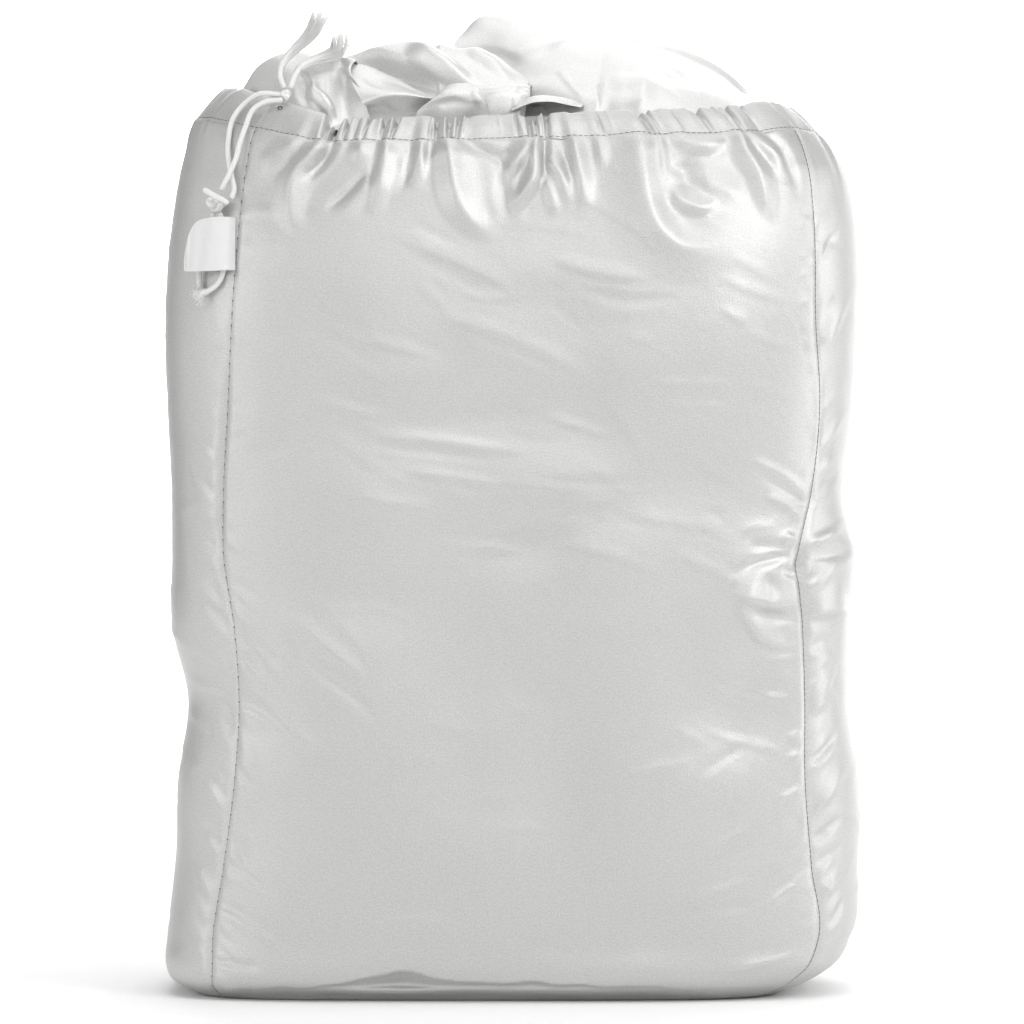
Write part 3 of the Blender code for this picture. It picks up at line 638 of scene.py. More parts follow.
@functools.lru_cache(maxsize=1)
def bag_wall(quick, crease_depth, gather_breadth):
    """The bag's wall as a grid of points, folded as cloth longer than the shape it is drawn in to."""
    base, rim, heights = wall_base()
    places = spans()
    first, last = places["front"]
    rng = np.random.default_rng(7)
    rows = WALL_ROWS + 1
    up = heights[:, None] * np.ones((1, COLUMNS))
    below_hem = heights[-1] - up
    strength = gather_strength(base[-1, :, 0])[None, :]
    seam = seam_distance()[None, :] * np.ones((rows, 1))
    across_steps = np.linalg.norm(np.roll(base, -1, axis=1) - base, axis=2)
    base = drawn_in(base, strength[0], np.exp(-(below_hem[:, 0] / (30 * MM)) ** 2))
    normals = facing(base)

    cut = np.zeros((rows, COLUMNS))
    for one, two in places.values():
        cut[:, one:two] = across_steps[:, one:two].sum(axis=1).max() / (two - one) * 1.004
    rise = np.concatenate([np.zeros((1, COLUMNS)), np.linalg.norm(np.diff(base, axis=0), axis=2)])

    z = base[:, :, 2] / MM
    relief = np.zeros((rows, COLUMNS))
    front = (slice(None), slice(first, last + 1))
    relief[front] = front_relief(base[front][:, :, 0] / MM, z[front], crease_depth, gather_breadth)
    across = np.arange(COLUMNS)[None, :] * COLUMN_PITCH * np.ones((rows, 1))
    seams = {name: start * COLUMN_PITCH for name, (start, _) in places.items()}
    relief += folds_relief(across - seams["right_gusset"], z, GUSSET_FOLDS) * 0.8
    round_bag = COLUMNS * COLUMN_PITCH
    off_front_reach = (seams["right_gusset"] + 6, round_bag - 6)
    relief += faint_wrinkles(across, z, 43, FAINT_WRINKLES * 2, *off_front_reach) * 1.6
    relief += pucker_relief(rng, across, z, seams, round_bag)
    calm = np.exp(-(below_hem / (26 * MM)) ** 2)
    relief += ripples(rng, rows, COLUMNS, 40, 36) * 0.95 + ripples(rng, rows, COLUMNS, 16, 22) * 0.16
    relief += ripples(rng, rows, COLUMNS, 7, 10) * (0.05 + 0.10 * calm)
    off_front = np.ones((rows, COLUMNS))
    off_front[front] = 0
    relief += gusset_gathers(rng, strength, below_hem) * off_front
    relief = softened(relief)
    relief *= 1 - np.exp(-(seam / (2.0 * MM)) ** 2)
    relief *= 1 - 0.5 * np.exp(-(below_hem / (5 * MM)) ** 2)
    relief -= 0.45 * np.exp(-(below_hem / (0.9 * MM)) ** 2)
    relief -= 0.55 * np.exp(-(seam / (1.1 * MM)) ** 2)
    pinch = named(PINCH_COLUMNS, SEAM_PINCH)
    from_pinch = (across - seams["right_gusset"]) ** 2 / pinch["reach_x"] ** 2
    from_pinch += (z - pinch["z"]) ** 2 / pinch["reach_z"] ** 2
    relief -= pinch["depth"] * np.exp(-from_pinch)
    right_end, bottom, most = CORDS_LIE
    under_cords = ((base[:, :, 0] < right_end * MM) & (base[:, :, 1] < 0) & (z > bottom)) * 1.0
    held = np.clip((right_end * MM - base[:, :, 0]) / (6 * MM), 0, 1) * under_cords
    relief = relief * (1 - held) + most * np.tanh(relief / most) * held
    relief *= np.clip(up / (5 * MM), 0, 1)
    shaped = base + normals * relief[:, :, None] * MM
    foot = np.array(FOOT_EDGE)
    edge = np.interp(base[:, :, 0] / MM, foot[:, 0], foot[:, 1])
    edge = edge + ripples(rng, rows, COLUMNS, 400, 10)[:1] * 1.3
    forward = np.clip(-normals[:, :, 1], 0, 1) ** 2 * (base[:, :, 1] < 0)
    tuck = np.clip(1 - z / np.maximum(edge, 1), 0, 1) ** 0.6 * FOOT_TUCK * np.clip(edge / 8, 0, 1)
    bulge = 0.8 * np.exp(-((z - edge - 4) / 8) ** 2)
    shaped[:, :, 1] += forward * (tuck - bulge) * MM

    near_top = np.exp(-(below_hem / (16 * MM)) ** 2)
    near_seam = np.exp(-((seam - 6 * MM) / (6 * MM)) ** 2)
    spare_across = 0.002 + near_top * 0.05 * strength + 0.010 * near_seam
    spare_up = 0.002 + 0.012 * near_seam + 0.006 * near_top
    at_seam = np.exp(-(seam / (1.6 * MM)) ** 2)
    slip = 0.010 + 0.5 * at_seam
    lift = 0.020 + 0.35 * at_seam
    slip[-2:], lift[-2:], slip[:2], lift[:2] = 1, 1, 1, 1
    low = np.full((rows, COLUMNS), -1.6 * MM)
    high = np.where(under_cords > 0, 0.3 * MM, (1.4 + 0.8 * calm) * MM)
    loose = None
    for stride, rounds in ((4, 60), (2, 60), (1, 0 if quick else 50)):
        pick = (slice(None, None, stride), slice(None, None, stride))
        guide = shaped[pick]
        start = guide if loose is None else guide + finer(loose)
        fields = (a[pick] for a in (normals, spare_across, spare_up, slip, lift, low, high))
        loose = settle(start, guide, *fields, rounds) - guide
    cloth = shaped + loose
    cloth[:, :, 2] = np.maximum(cloth[:, :, 2], 0.25 * MM)
    return cloth, base, rim, cut, rise


# ---- Meshes


def lengths(steps):
    """Running length along an array's second axis, from 0."""
    return np.concatenate([np.zeros((len(steps), 1)), np.cumsum(steps, axis=1)], axis=1)


def measured(grid, closed=False):
    """A grid's own measure across and up, for its UV map."""
    ring = np.concatenate([grid, grid[:, :1]], axis=1) if closed else grid
    across = lengths(np.linalg.norm(np.diff(ring, axis=1), axis=2))
    up = lengths(np.linalg.norm(np.diff(ring, axis=0), axis=2).T).T
    return np.stack([across, up], axis=2)


def patch(grid, measure=None, closed=False, capped=False):
    """Quads over a grid of points, closed sideways if wanted, with the cloth's measure across and up."""
    return {"grid": grid, "closed": closed, "capped": capped,
            "measure": measured(grid, closed) if measure is None else measure}


def in_scene(name, data):
    """A new object of that name in the scene."""
    made = bpy.data.objects.new(name, data)
    bpy.context.scene.collection.objects.link(made)
    return made


def cloth_mesh(name, patches, finish):
    """One object made of patches, with the cloth's measure in metres as its UV map."""
    points, corners, totals, measures, used = [], [], [], [], 0
    for part in patches:
        grid, uv = part["grid"], part["measure"]
        rows, columns = grid.shape[:2]
        index = used + np.arange(rows * columns).reshape(rows, columns)
        if part["closed"]:
            index = np.concatenate([index, index[:, :1]], axis=1)
        low, high, left, right = slice(None, -1), slice(1, None), slice(None, -1), slice(1, None)
        order = ((low, left), (low, right), (high, right), (high, left))
        corners.append(np.stack([index[place] for place in order], axis=-1).reshape(-1))
        measures.append(np.stack([uv[place] for place in order], axis=2).reshape(-1, 2))
        totals.append(np.full((rows - 1) * (index.shape[1] - 1), 4))
        if part["capped"]:
            for ring, flat in ((index[0, -2::-1], uv[0, -2::-1]), (index[-1, :-1], uv[-1, :-1])):
                corners.append(ring)
                measures.append(flat)
                totals.append(np.array([len(ring)]))
        points.append(grid.reshape(-1, 3))
        used += rows * columns
    corners, totals = np.concatenate(corners), np.concatenate(totals)
    mesh = bpy.data.meshes.new(name)
    mesh.vertices.add(used)
    mesh.vertices.foreach_set("co", np.concatenate(points).reshape(-1).astype(np.float32))
    mesh.loops.add(len(corners))
    mesh.loops.foreach_set("vertex_index", corners.astype(np.int32))
    mesh.polygons.add(len(totals))
    starts = np.concatenate([[0], np.cumsum(totals)[:-1]])
    mesh.polygons.foreach_set("loop_start", starts.astype(np.int32))
    mesh.polygons.foreach_set("loop_total", totals.astype(np.int32))
    uv = mesh.uv_layers.new(name="cloth")
    uv.data.foreach_set("uv", np.concatenate(measures).reshape(-1).astype(np.float32))
    mesh.update(calc_edges=True)
    mesh.validate()
    mesh.shade_smooth()
    mesh.materials.append(finish)
    return in_scene(name, mesh)


def belongs(piece, slot, *nodes):
    """Hides the imported parts that a finished piece stands for, if any are given, and fixes it to the bag's
    body; slot, which would name its finish, is not used.
    """
    if nodes:
        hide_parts(*nodes)
    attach(piece, BODY)


def frames_along(line):
    """Unit directions along a line, and two more across it that don't twist round it."""
    ahead = np.gradient(line, axis=0)
    ahead /= np.linalg.norm(ahead, axis=1)[:, None]
    side = np.zeros_like(ahead)
    first = np.cross(ahead[0], (0.31, 0.9, 0.17))
    side[0] = first / np.linalg.norm(first)
    for i in range(1, len(line)):
        across = side[i - 1] - ahead[i] * np.dot(side[i - 1], ahead[i])
        side[i] = across / np.linalg.norm(across)
    return ahead, side, np.cross(ahead, side)


def tube(line, radius, sides, round_ends=True):
    """A patch for a tube round a line of points; radius is one number or one for each point."""
    line = np.asarray(line, float)
    radius = np.broadcast_to(np.asarray(radius, float), (len(line),)).copy()
    if round_ends:
        ahead = (line[1] - line[0]) / np.linalg.norm(line[1] - line[0])
        behind = (line[-1] - line[-2]) / np.linalg.norm(line[-1] - line[-2])
        turn = np.radians((20, 45, 70))
        start = [line[0] - ahead * radius[0] * math.cos(t) for t in turn]
        finish = [line[-1] + behind * radius[-1] * math.cos(t) for t in turn[::-1]]
        line = np.concatenate([start, line, finish])
        radius = np.concatenate([radius[0] * np.sin(turn), radius, radius[-1] * np.sin(turn[::-1])])
    _, side, up = frames_along(line)
    angles = np.linspace(0, 2 * math.pi, sides, endpoint=False)
    ring = side[:, None] * np.cos(angles)[None, :, None] + up[:, None] * np.sin(angles)[None, :, None]
    grid = line[:, None] + radius[:, None, None] * ring
    around = np.linspace(0, 1, sides + 1) * 2 * math.pi * np.mean(radius)
    measure = np.stack(np.broadcast_arrays(around[None, :], length_along(line)[:, None]), axis=2)
    return patch(grid, measure, closed=True, capped=True)


# ---- Finishes


def node(tree, kind, **values):
    """A node with its own settings (plain names) and constants of its inputs (names with spaces as _)."""
    made = tree.nodes.new("ShaderNode" + kind)
    for name, value in values.items():
        socket = made.inputs.get(name.replace("_", " "))
        if socket is not None:
            socket.default_value = value
        else:
            setattr(made, name, value)
    return made


def join(tree, *pairs):
    """Links output sockets to input sockets, given as (node, output, node, input)."""
    for source, output, target, socket in pairs:
        tree.links.new(source.outputs[output], target.inputs[socket])


def new_finish(name):
    """A new material, its node tree and its shader."""
    made = bpy.data.materials.new(name)
    made.use_nodes = True
    tree = made.node_tree
    return made, tree, tree.nodes["Principled BSDF"]


def shades(tree, tone, dark, bright=1.0, low=0.0, high=1.0):
    """A colour ramp round a tone: its dark and bright ends as shares of the tone, and where they stand."""
    ramp = node(tree, "ValToRGB")
    first, last = ramp.color_ramp.elements
    first.position, last.position = low, high
    first.color = (*(c * dark for c in tone), 1)
    last.color = (*(min(1.0, c * bright) for c in tone), 1)
    return ramp


def silver_cloth(name, tone, metallic, roughness):
    """Woven polyester with a thin silver coat: a sparkling grain, fine threads and a broad soft sheen."""
    made, tree, shader = new_finish(name)
    measure = node(tree, "UVMap", uv_map="cloth")
    threads = node(tree, "Mapping")
    threads.inputs["Scale"].default_value = (260.0, 1700.0, 1.0)
    streaks = node(tree, "TexNoise", Scale=1.0, Detail=2.0)
    grain = node(tree, "TexNoise", Scale=1300.0, Detail=3.0, Roughness=0.7)
    patches = node(tree, "TexNoise", Scale=16.0, Detail=4.0, Roughness=0.55)
    crinkles = node(tree, "TexNoise", Scale=85.0, Detail=3.0, Roughness=0.5, Distortion=0.6)
    join(
        tree, (measure, "UV", threads, "Vector"), (threads, "Vector", streaks, "Vector"),
        (measure, "UV", grain, "Vector"), (measure, "UV", patches, "Vector"),
        (measure, "UV", crinkles, "Vector"),
    )
    rough = node(tree, "MapRange")
    for socket, value in (
        ("From Min", 0.3), ("From Max", 0.7), ("To Min", roughness - 0.05), ("To Max", roughness + 0.06),
    ):
        rough.inputs[socket].default_value = value
    join(tree, (patches, "Fac", rough, "Value"), (rough, "Result", shader, "Roughness"))
    speckle = node(tree, "Mix", data_type="FLOAT")
    speckle.inputs[0].default_value = 0.18
    join(tree, (grain, "Fac", speckle, 2), (streaks, "Fac", speckle, 3))
    shade = shades(tree, tone, 0.87, 1.12, 0.36, 0.66)
    join(tree, (speckle, 0, shade, "Fac"), (shade, "Color", shader, "Base Color"))
    first = node(tree, "Bump", Strength=0.5, Distance=0.0006)
    second = node(tree, "Bump", Strength=0.5, Distance=0.00022)
    third = node(tree, "Bump", Strength=0.25, Distance=0.00014)
    join(
        tree, (crinkles, "Fac", first, "Height"), (grain, "Fac", second, "Height"),
        (streaks, "Fac", third, "Height"), (first, "Normal", second, "Normal"),
        (second, "Normal", third, "Normal"), (third, "Normal", shader, "Normal"),
    )
    shader.inputs["Metallic"].default_value = metallic
    return made


def cord_finish(name, tone, width):
    """Matt white braided cord: strands that cross each other slantwise, with painted shade in the grooves
    between them.
    """
    made, tree, shader = new_finish(name)
    measure = node(tree, "UVMap", uv_map="cloth")
    strands = []
    for slant in (0.62, -0.62):
        turned = node(tree, "Mapping")
        turned.inputs["Rotation"].default_value = (0, 0, slant)
        wave = node(
            tree, "TexWave", Scale=1 / width, wave_type="BANDS", bands_direction="Y", wave_profile="SIN",
        )
        join(tree, (measure, "UV", turned, "Vector"), (turned, "Vector", wave, "Vector"))
        strands.append(wave)
    crossed = node(tree, "Math", operation="MAXIMUM")
    fuzz = node(tree, "TexNoise", Scale=2600.0, Detail=2.0)
    join(
        tree, (strands[0], "Fac", crossed, 0), (strands[1], "Fac", crossed, 1),
        (measure, "UV", fuzz, "Vector"),
    )
    deep = node(tree, "Bump", Strength=0.6, Distance=0.0003)
    fine = node(tree, "Bump", Strength=0.3, Distance=0.0001)
    join(
        tree, (crossed, 0, deep, "Height"), (fuzz, "Fac", fine, "Height"), (deep, "Normal", fine, "Normal"),
        (fine, "Normal", shader, "Normal"),
    )
    # Painted shade: the colour darkens to 0.8 of its tone in the grooves between the strands, where both
    # waves are low.
    shade = shades(tree, tone, 0.80, high=0.6)
    join(tree, (crossed, 0, shade, "Fac"), (shade, "Color", shader, "Base Color"))
    shader.inputs["Roughness"].default_value = 0.75
    return made


def fibre_finish(name, tone):
    """Loose white fibres that let light through."""
    made, tree, shader = new_finish(name)
    shader.inputs["Base Color"].default_value = (*tone, 1)
    shader.inputs["Roughness"].default_value = 0.8
    shader.inputs["Sheen Weight"].default_value = 1.0
    through_light = node(tree, "BsdfTranslucent")
    through_light.inputs["Color"].default_value = (*tone, 1)
    both = node(tree, "MixShader")
    both.inputs[0].default_value = 0.4
    join(
        tree, (shader, "BSDF", both, 1), (through_light, "BSDF", both, 2),
        (both, "Shader", tree.nodes["Material Output"], "Surface"),
    )
    return made


def label_finish(name, tone):
    """Thin white satin tape: fine ribs and a slight lustre."""
    made, tree, shader = new_finish(name)
    measure = node(tree, "UVMap", uv_map="cloth")
    ribs = node(tree, "TexWave", Scale=900.0, wave_type="BANDS", bands_direction="Y")
    soft = node(tree, "TexNoise", Scale=260.0, Detail=2.0)
    join(tree, (measure, "UV", ribs, "Vector"), (measure, "UV", soft, "Vector"))
    bump = node(tree, "Bump", Strength=0.3, Distance=0.00008)
    join(tree, (ribs, "Fac", bump, "Height"), (bump, "Normal", shader, "Normal"))
    shade = shades(tree, tone, 0.95)
    join(tree, (soft, "Fac", shade, "Fac"), (shade, "Color", shader, "Base Color"))
    shader.inputs["Roughness"].default_value = 0.5
    return made


def thread_finish(name, tone):
    """Twisted sewing thread."""
    made, tree, shader = new_finish(name)
    place = node(tree, "TexCoord")
    twist = node(tree, "TexNoise", Scale=3000.0, Detail=1.0)
    join(tree, (place, "Object", twist, "Vector"))
    shade = shades(tree, tone, 0.8)
    join(tree, (twist, "Fac", shade, "Fac"), (shade, "Color", shader, "Base Color"))
    shader.inputs["Roughness"].default_value = 0.7
    return made


# ---- Cords


# The points each cord runs through, in millimetres
CORD_ROUTES = {
    "strand_outer": (
        (-104.4, -59.0, 405.4), (-112.7, -58.5, 405.9), (-120.3, -55.5, 401.6), (-125.3, -57.0, 394.9),
        (-127.3, -60.5, 385.0), (-127.0, -65.0, 376.0), (-125.7, -68.5, 369.3), (-124.2, -72.5, 361.2),
        (-125.0, -75.5, 358.6),
    ),
    "strand_inner": (
        (-103.9, -60.9, 402.9), (-111.4, -60.5, 401.8), (-115.8, -60.5, 399.0), (-119.4, -63.5, 390.9),
        (-121.7, -66.5, 383.7), (-123.9, -70.0, 374.7), (-126.2, -71.9, 369.3), (-129.6, -72.0, 362.6),
    ),
    "tail_left": (
        (-133.6, -71.5, 350.6), (-136.2, -70.5, 344.0), (-138.6, -69.8, 336.0), (-139.8, -69.5, 327.0),
        (-139.8, -69.5, 319.0),
    ),
    "tail_right": (
        (-130.2, -73.0, 350.6), (-128.8, -75.0, 344.0), (-128.0, -76.6, 336.0), (-128.2, -77.2, 327.5),
        (-130.6, -76.4, 320.8), (-134.6, -74.6, 317.2), (-138.6, -73.2, 315.6),
    ),
    "upper_tail_left": (
        (-102.6, -57.0, 409.2), (-104.4, -52.5, 414.4), (-103.2, -47.0, 420.4), (-99.4, -43.0, 426.0),
        (-94.6, -41.5, 430.4), (-90.4, -41.5, 435.0),
    ),
    "upper_tail_right": (
        (-99.4, -57.5, 409.0), (-97.6, -53.5, 414.4), (-94.8, -50.0, 418.8), (-89.4, -47.0, 421.8),
        (-83.0, -45.0, 424.0), (-78.0, -44.5, 426.6),
    ),
}
CORD_POINTS = 90
BRAID_PITCH = 0.0016  # metres
KNOT_COLUMNS = ("x", "y", "z", "width", "depth", "height")
KNOTS = {
    "hem_knot": (-101.6, -58.8, 405.4, 4.6, 5.0, 5.6),
    "big_knot": (-132.0, -72.0, 355.6, 9.4, 6.0, 8.4),
}
KNOT_WRAP = ((-136.8, -74.6, 361.6), (-134.4, -76.6, 360.0), (-130.4, -77.6, 357.8), (-127.2, -77.8, 356.0))
FRAY_COLUMNS = ("tail", "opens", "across", "along", "up", "length", "spread", "fibres")
FRAY_POINTS = 40
FRAYED_ENDS = {  # the cord each opens out, from which share of its way, and the way its fibres run on
    "fray_left": ("tail_left", 0.94, -0.4, -0.1, -1.0, 4.0, 1.1, 70),
    "fray_right": ("tail_right", 0.94, -0.8, -0.1, -1.0, 4.0, 1.1, 70),
    "upper_fray_left": ("upper_tail_left", 0.35, 0.45, 0.1, 1.0, 11.0, 3.2, 240),
    "upper_fray_right": ("upper_tail_right", 0.35, 0.1, 0.1, 1.0, 9.0, 3.0, 220),
}


def make_cords(diameter, finish):
    """The stretches of the drawstring that show."""
    for name, points in CORD_ROUTES.items():
        line = route(points, CORD_POINTS) * MM
        piece = cloth_mesh(name + "_cord", [tube(line, diameter / 2, 20)], finish)
        belongs(piece, "cord", name)


def knot_line(knot, radius):
    """The line of a cord pulled into a small ball of the knot's size."""
    t = np.linspace(0, 2 * math.pi, 160, endpoint=False)
    across, along, up = np.sin(t) + 2 * np.sin(2 * t), np.sin(3 * t) * 1.1, np.cos(t) - 2 * np.cos(2 * t)
    loop = np.stack([across, along, up], axis=1)
    loop /= np.abs(loop).max(axis=0)
    room = np.array([knot["width"], knot["depth"], knot["height"]]) / 2 - radius
    return np.array([knot["x"], knot["y"], knot["z"]]) + loop * room


def make_knots(diameter, finish):
    """The knots, and the turn of cord round the big one."""
    for name, row in KNOTS.items():
        knot = named(KNOT_COLUMNS, row)
        radius = diameter / 2 / MM * (1.0 if name == "hem_knot" else 1.15)
        line = knot_line(knot, radius)
        line = np.concatenate([line, line[:1]])
        piece = cloth_mesh(name + "_cord", [tube(line * MM, radius * MM, 18)], finish)
        belongs(piece, "cord", name)
    line = route(KNOT_WRAP, 50) * MM
    piece = cloth_mesh("knot_wrap_cord", [tube(line, diameter / 2, 20)], finish)
    belongs(piece, "cord", "knot_wrap")


def make_frays(diameter, finish):
    """The cord's ends, unravelled into soft fibres that spread as they go."""
    rng = np.random.default_rng(11)
    for name, row in FRAYED_ENDS.items():
        end = named(FRAY_COLUMNS, row)
        ahead = np.array([end["across"], end["along"], end["up"]])
        ahead /= np.linalg.norm(ahead)
        cord = route(CORD_ROUTES[end["tail"]], 60)
        cord = cord[int(end["opens"] * (len(cord) - 1)):]
        runs_on = cord[-1] + ahead * np.linspace(0, end["length"], 14)[1:, None]
        line = route(np.concatenate([cord[:: max(1, len(cord) // 6)], runs_on[::4]]), FRAY_POINTS)
        _, side, up = frames_along(line)
        fibres = []
        for _ in range(end["fibres"]):
            around, reach = rng.uniform(0, 2 * math.pi), math.sqrt(rng.uniform(0.35, 1.0))
            stop = FRAY_POINTS - int(rng.uniform(0, 16) ** 2 / 16)
            t = np.linspace(0, 1, FRAY_POINTS)[:stop:3]
            width = diameter / 2 / MM * 0.9 + end["spread"] * t ** 1.1
            around = around + rng.normal(0, 0.5) * t
            strand = (
                line[:stop:3] + (side[:stop:3].T * np.cos(around) * width * reach).T * 1.25
                + (up[:stop:3].T * np.sin(around) * width * reach).T * 0.7
            )
            strand += rng.normal(0, 1, 3) * (t ** 3)[:, None] * 0.8
            fibres.append(tube(strand * MM, (0.16 - 0.07 * t) * MM, 4, round_ends=False))
        reach = np.linspace(0, 1, FRAY_POINTS)
        core = (diameter / 2 * 0.95 + end["spread"] * 0.35 * reach * MM) * np.sqrt(1.001 - reach ** 3)
        fibres.append(tube(line * MM, core, 14))
        piece = cloth_mesh(name + "_fibres", fibres, finish)
        belongs(piece, "cord", name)


# ---- Label


# The label's outline: X, Y and the heights of its top and bottom edges, in millimetres
LABEL_SHAPE = (
    (-123.4, -77.8, 349.4, 325.7), (-126.6, -81.0, 349.6, 325.6), (-131.0, -81.4, 349.6, 325.4),
    (-136.0, -79.2, 349.2, 325.3), (-140.6, -76.2, 347.8, 325.2), (-143.6, -73.8, 344.0, 325.2),
    (-145.6, -72.0, 337.0, 325.4), (-146.6, -71.2, 331.0, 325.8),
)
LABEL_LEAN = 0.15  # how far back it leans for each millimetre above its foot
LABEL_FOOT = 325.4
LABEL_ROWS = 53
LABEL_POINTS = 61
LABEL_EDGE = 0.16  # how far its woven edges stand out


def make_label(thickness, finish):
    """The size label: a short tape sewn into the left seam."""
    outline = route(LABEL_SHAPE, LABEL_POINTS)
    share = np.linspace(0, 1, LABEL_ROWS)[:, None]
    x = np.broadcast_to(outline[:, 0], (LABEL_ROWS, LABEL_POINTS)).copy()
    z = outline[:, 3] + (outline[:, 2] - outline[:, 3]) * share
    y = outline[:, 1] + (z - LABEL_FOOT) * LABEL_LEAN
    across = np.linspace(0, 1, LABEL_POINTS)[None, :]
    y = y + 0.28 * np.sin(across * 13 + 1.4) * (0.4 + 0.6 * share)
    y = y + 0.16 * np.sin(across * 29 + share * 2.0)
    y = y + 0.10 * np.sin(share * 9 + across * 5)
    edge = np.minimum(np.minimum(share, 1 - share) * 24, (1 - across) * 24)
    y = y - LABEL_EDGE * (edge < 1.6)
    grid = np.stack([x, y, z], axis=2)[:, ::-1] * MM
    piece = cloth_mesh("size_label_tape", [patch(grid)], finish)
    thick = piece.modifiers.new("thickness", "SOLIDIFY")
    thick.thickness = thickness
    thick.offset = 0.0
    take_in_modifiers(piece)
    belongs(piece, "label_cloth", "size_label")


def take_in_modifiers(piece):
    """Makes a piece's evaluated mesh its own plain one, and removes its modifiers."""
    evaluated = piece.evaluated_get(bpy.context.evaluated_depsgraph_get())
    mesh = bpy.data.meshes.new_from_object(evaluated)
    mesh.name = piece.name
    piece.modifiers.clear()
    piece.data = mesh


# ---- Stage


CAMERA_DISTANCE = 2.5
CAMERA_HEIGHT = 0.218
SHOWN_WIDTH = 0.471  # what the camera takes in at the bag
SENSOR_WIDTH = 36.0

# The paper: flat from its near end to where it starts to curve up, then up to its top
PAPER_NEAR, PAPER_CURVES, PAPER_RADIUS, PAPER_TOP = -6.0, 1.2, 1.2, 5.0
PAPER_FLAT_EDGES = (-6.0, 6.0)
PAPER_RAISED_EDGES = (-0.8, 3.0)

# Where each lamp is, what it points at, its size, its power and how wide it spreads, in degrees
LAMPS = {
    "key": ((1.7, -1.7, 1.5), (0, 0, 0.25), (1.0, 1.0), 20.5, 180),
    "side": ((2.0, 0.0, 0.6), (0, 0, 0.2), (0.9, 1.5), 11.4, 180),
    "near": ((-0.2, -2.9, 1.15), (0, 0, 0.2), (2.6, 0.9), 13.5, 180),
    "fill": ((-2.0, -1.2, 0.9), (0, 0, 0.22), (1.4, 1.6), 11.5, 180),
    "high": ((0.2, -1.3, 2.1), (0, -0.05, 0.35), (1.6, 0.9), 12, 180),
    "left": ((-1.9, 0.35, 0.7), (0, 0, 0.2), (0.9, 1.5), 3.0, 180),
    "top": ((0.2, 0.3, 2.2), (0, 0, 0.3), (2.2, 1.2), 12.5, 180),
    "backdrop": ((0.0, 1.2, 3.0), (0, 2.5, 0.8), (3.4, 0.8), 70, 80),
}


def make_stage(brightness, surroundings, paper_colour):
    """The camera, the paper under and behind the bag, the lamps and the even light from all sides."""
    scene = bpy.context.scene
    lens = bpy.data.cameras.new("camera")
    lens.sensor_width = SENSOR_WIDTH
    lens.lens = SENSOR_WIDTH * CAMERA_DISTANCE / SHOWN_WIDTH
    camera = in_scene("camera", lens)
    camera.location = (0.0, -CAMERA_DISTANCE, CAMERA_HEIGHT)
    camera.rotation_euler = (math.radians(90), 0, 0)
    scene.camera = camera
    scene.view_settings.view_transform = "Standard"

    profile = [(PAPER_NEAR, 0.0), (PAPER_CURVES, 0.0)]
    for angle in np.linspace(0.1, math.pi / 2, 14):
        rise = PAPER_RADIUS - PAPER_RADIUS * math.cos(angle)
        profile.append((PAPER_CURVES + PAPER_RADIUS * math.sin(angle), rise))
    profile.append((PAPER_CURVES + PAPER_RADIUS, PAPER_TOP))
    mesh = bpy.data.meshes.new("floor")
    edges = [PAPER_FLAT_EDGES if y <= PAPER_CURVES else PAPER_RAISED_EDGES for y, _ in profile]
    verts = [(x, y, z) for (y, z), across in zip(profile, edges) for x in across]
    faces = [(2 * i, 2 * i + 1, 2 * i + 3, 2 * i + 2) for i in range(len(profile) - 1)]
    mesh.from_pydata(verts, [], faces)
    mesh.shade_smooth()
    paper, _, shader = new_finish("paper")
    shader.inputs["Base Color"].default_value = (*paper_colour, 1)
    shader.inputs["Roughness"].default_value = 0.9
    mesh.materials.append(paper)
    floor = in_scene("floor", mesh)

    for name, (place, aim, size, power, spread) in LAMPS.items():
        light = bpy.data.lights.new(name, "AREA")
        light.shape = "RECTANGLE"
        light.size, light.size_y = size
        light.energy = power * brightness
        light.spread = math.radians(spread)
        lamp = in_scene(name, light)
        lamp.location = place
        lamp.rotation_euler = (Vector(aim) - Vector(place)).to_track_quat("-Z", "Y").to_euler()
    world = bpy.data.worlds.new("studio")
    world.use_nodes = True
    world.node_tree.nodes["Background"].inputs["Color"].default_value = (1, 1, 1, 1)
    world.node_tree.nodes["Background"].inputs["Strength"].default_value = surroundings
    scene.world = world


# ---- The bag's pieces


def make_bag(wall, silver):
    """The four side panels, cut where the seams are."""
    cloth, _, _, cut, rise = wall
    up = np.cumsum(rise, axis=0)
    for name, (first, last) in spans().items():
        columns = np.arange(first, last + 1) % COLUMNS
        across = lengths(cut[:, first:last])
        measure = np.stack([across, up[:, columns]], axis=2)
        piece = cloth_mesh(name + "_cloth", [patch(cloth[:, columns], measure)], silver)
        belongs(piece, "bag_cloth", name)


HEM_ROWS = 44
SHALLOWEST_PLEATS = 0.04
# The hem's deep pleats on the front: where each is across, half its width and its depth, in millimetres
HEM_PLEATS = (
    (-84.6, 1.3, 3.2), (-81.6, 1.5, 5.2), (-76.0, 0.9, 1.6), (-71.4, 0.8, 1.0), (-67.2, 0.9, 1.4),
    (-58.6, 0.9, 1.8), (-54.4, 0.8, 1.6), (-37.0, 0.8, 1.2), (-33.6, 1.1, 2.6), (-28.2, 1.0, 2.4),
    (-24.8, 0.8, 1.4), (2.6, 0.8, 1.0), (8.4, 1.0, 2.0), (11.8, 0.9, 2.2), (16.0, 0.9, 1.4),
    (41.0, 0.9, 0.7), (63.0, 1.2, 1.4), (67.0, 0.9, 0.8), (78.6, 0.9, 0.6), (90.6, 1.3, 1.2),
    (104.0, 1.2, 1.4), (112.0, 0.9, 0.8),
)
# The cord's hole in the hem, where a dark disc of painted shade sits
CORD_HOLE = (-104.3, 399.6)  # across and up, in millimetres
HOLE_ANGLES = np.linspace(0, 2 * math.pi, 20, endpoint=False)
HOLE_BREADTH = 1.25  # as a share of its height
HEM_STITCH = 0.05  # where the stitches are, as a share of the way up
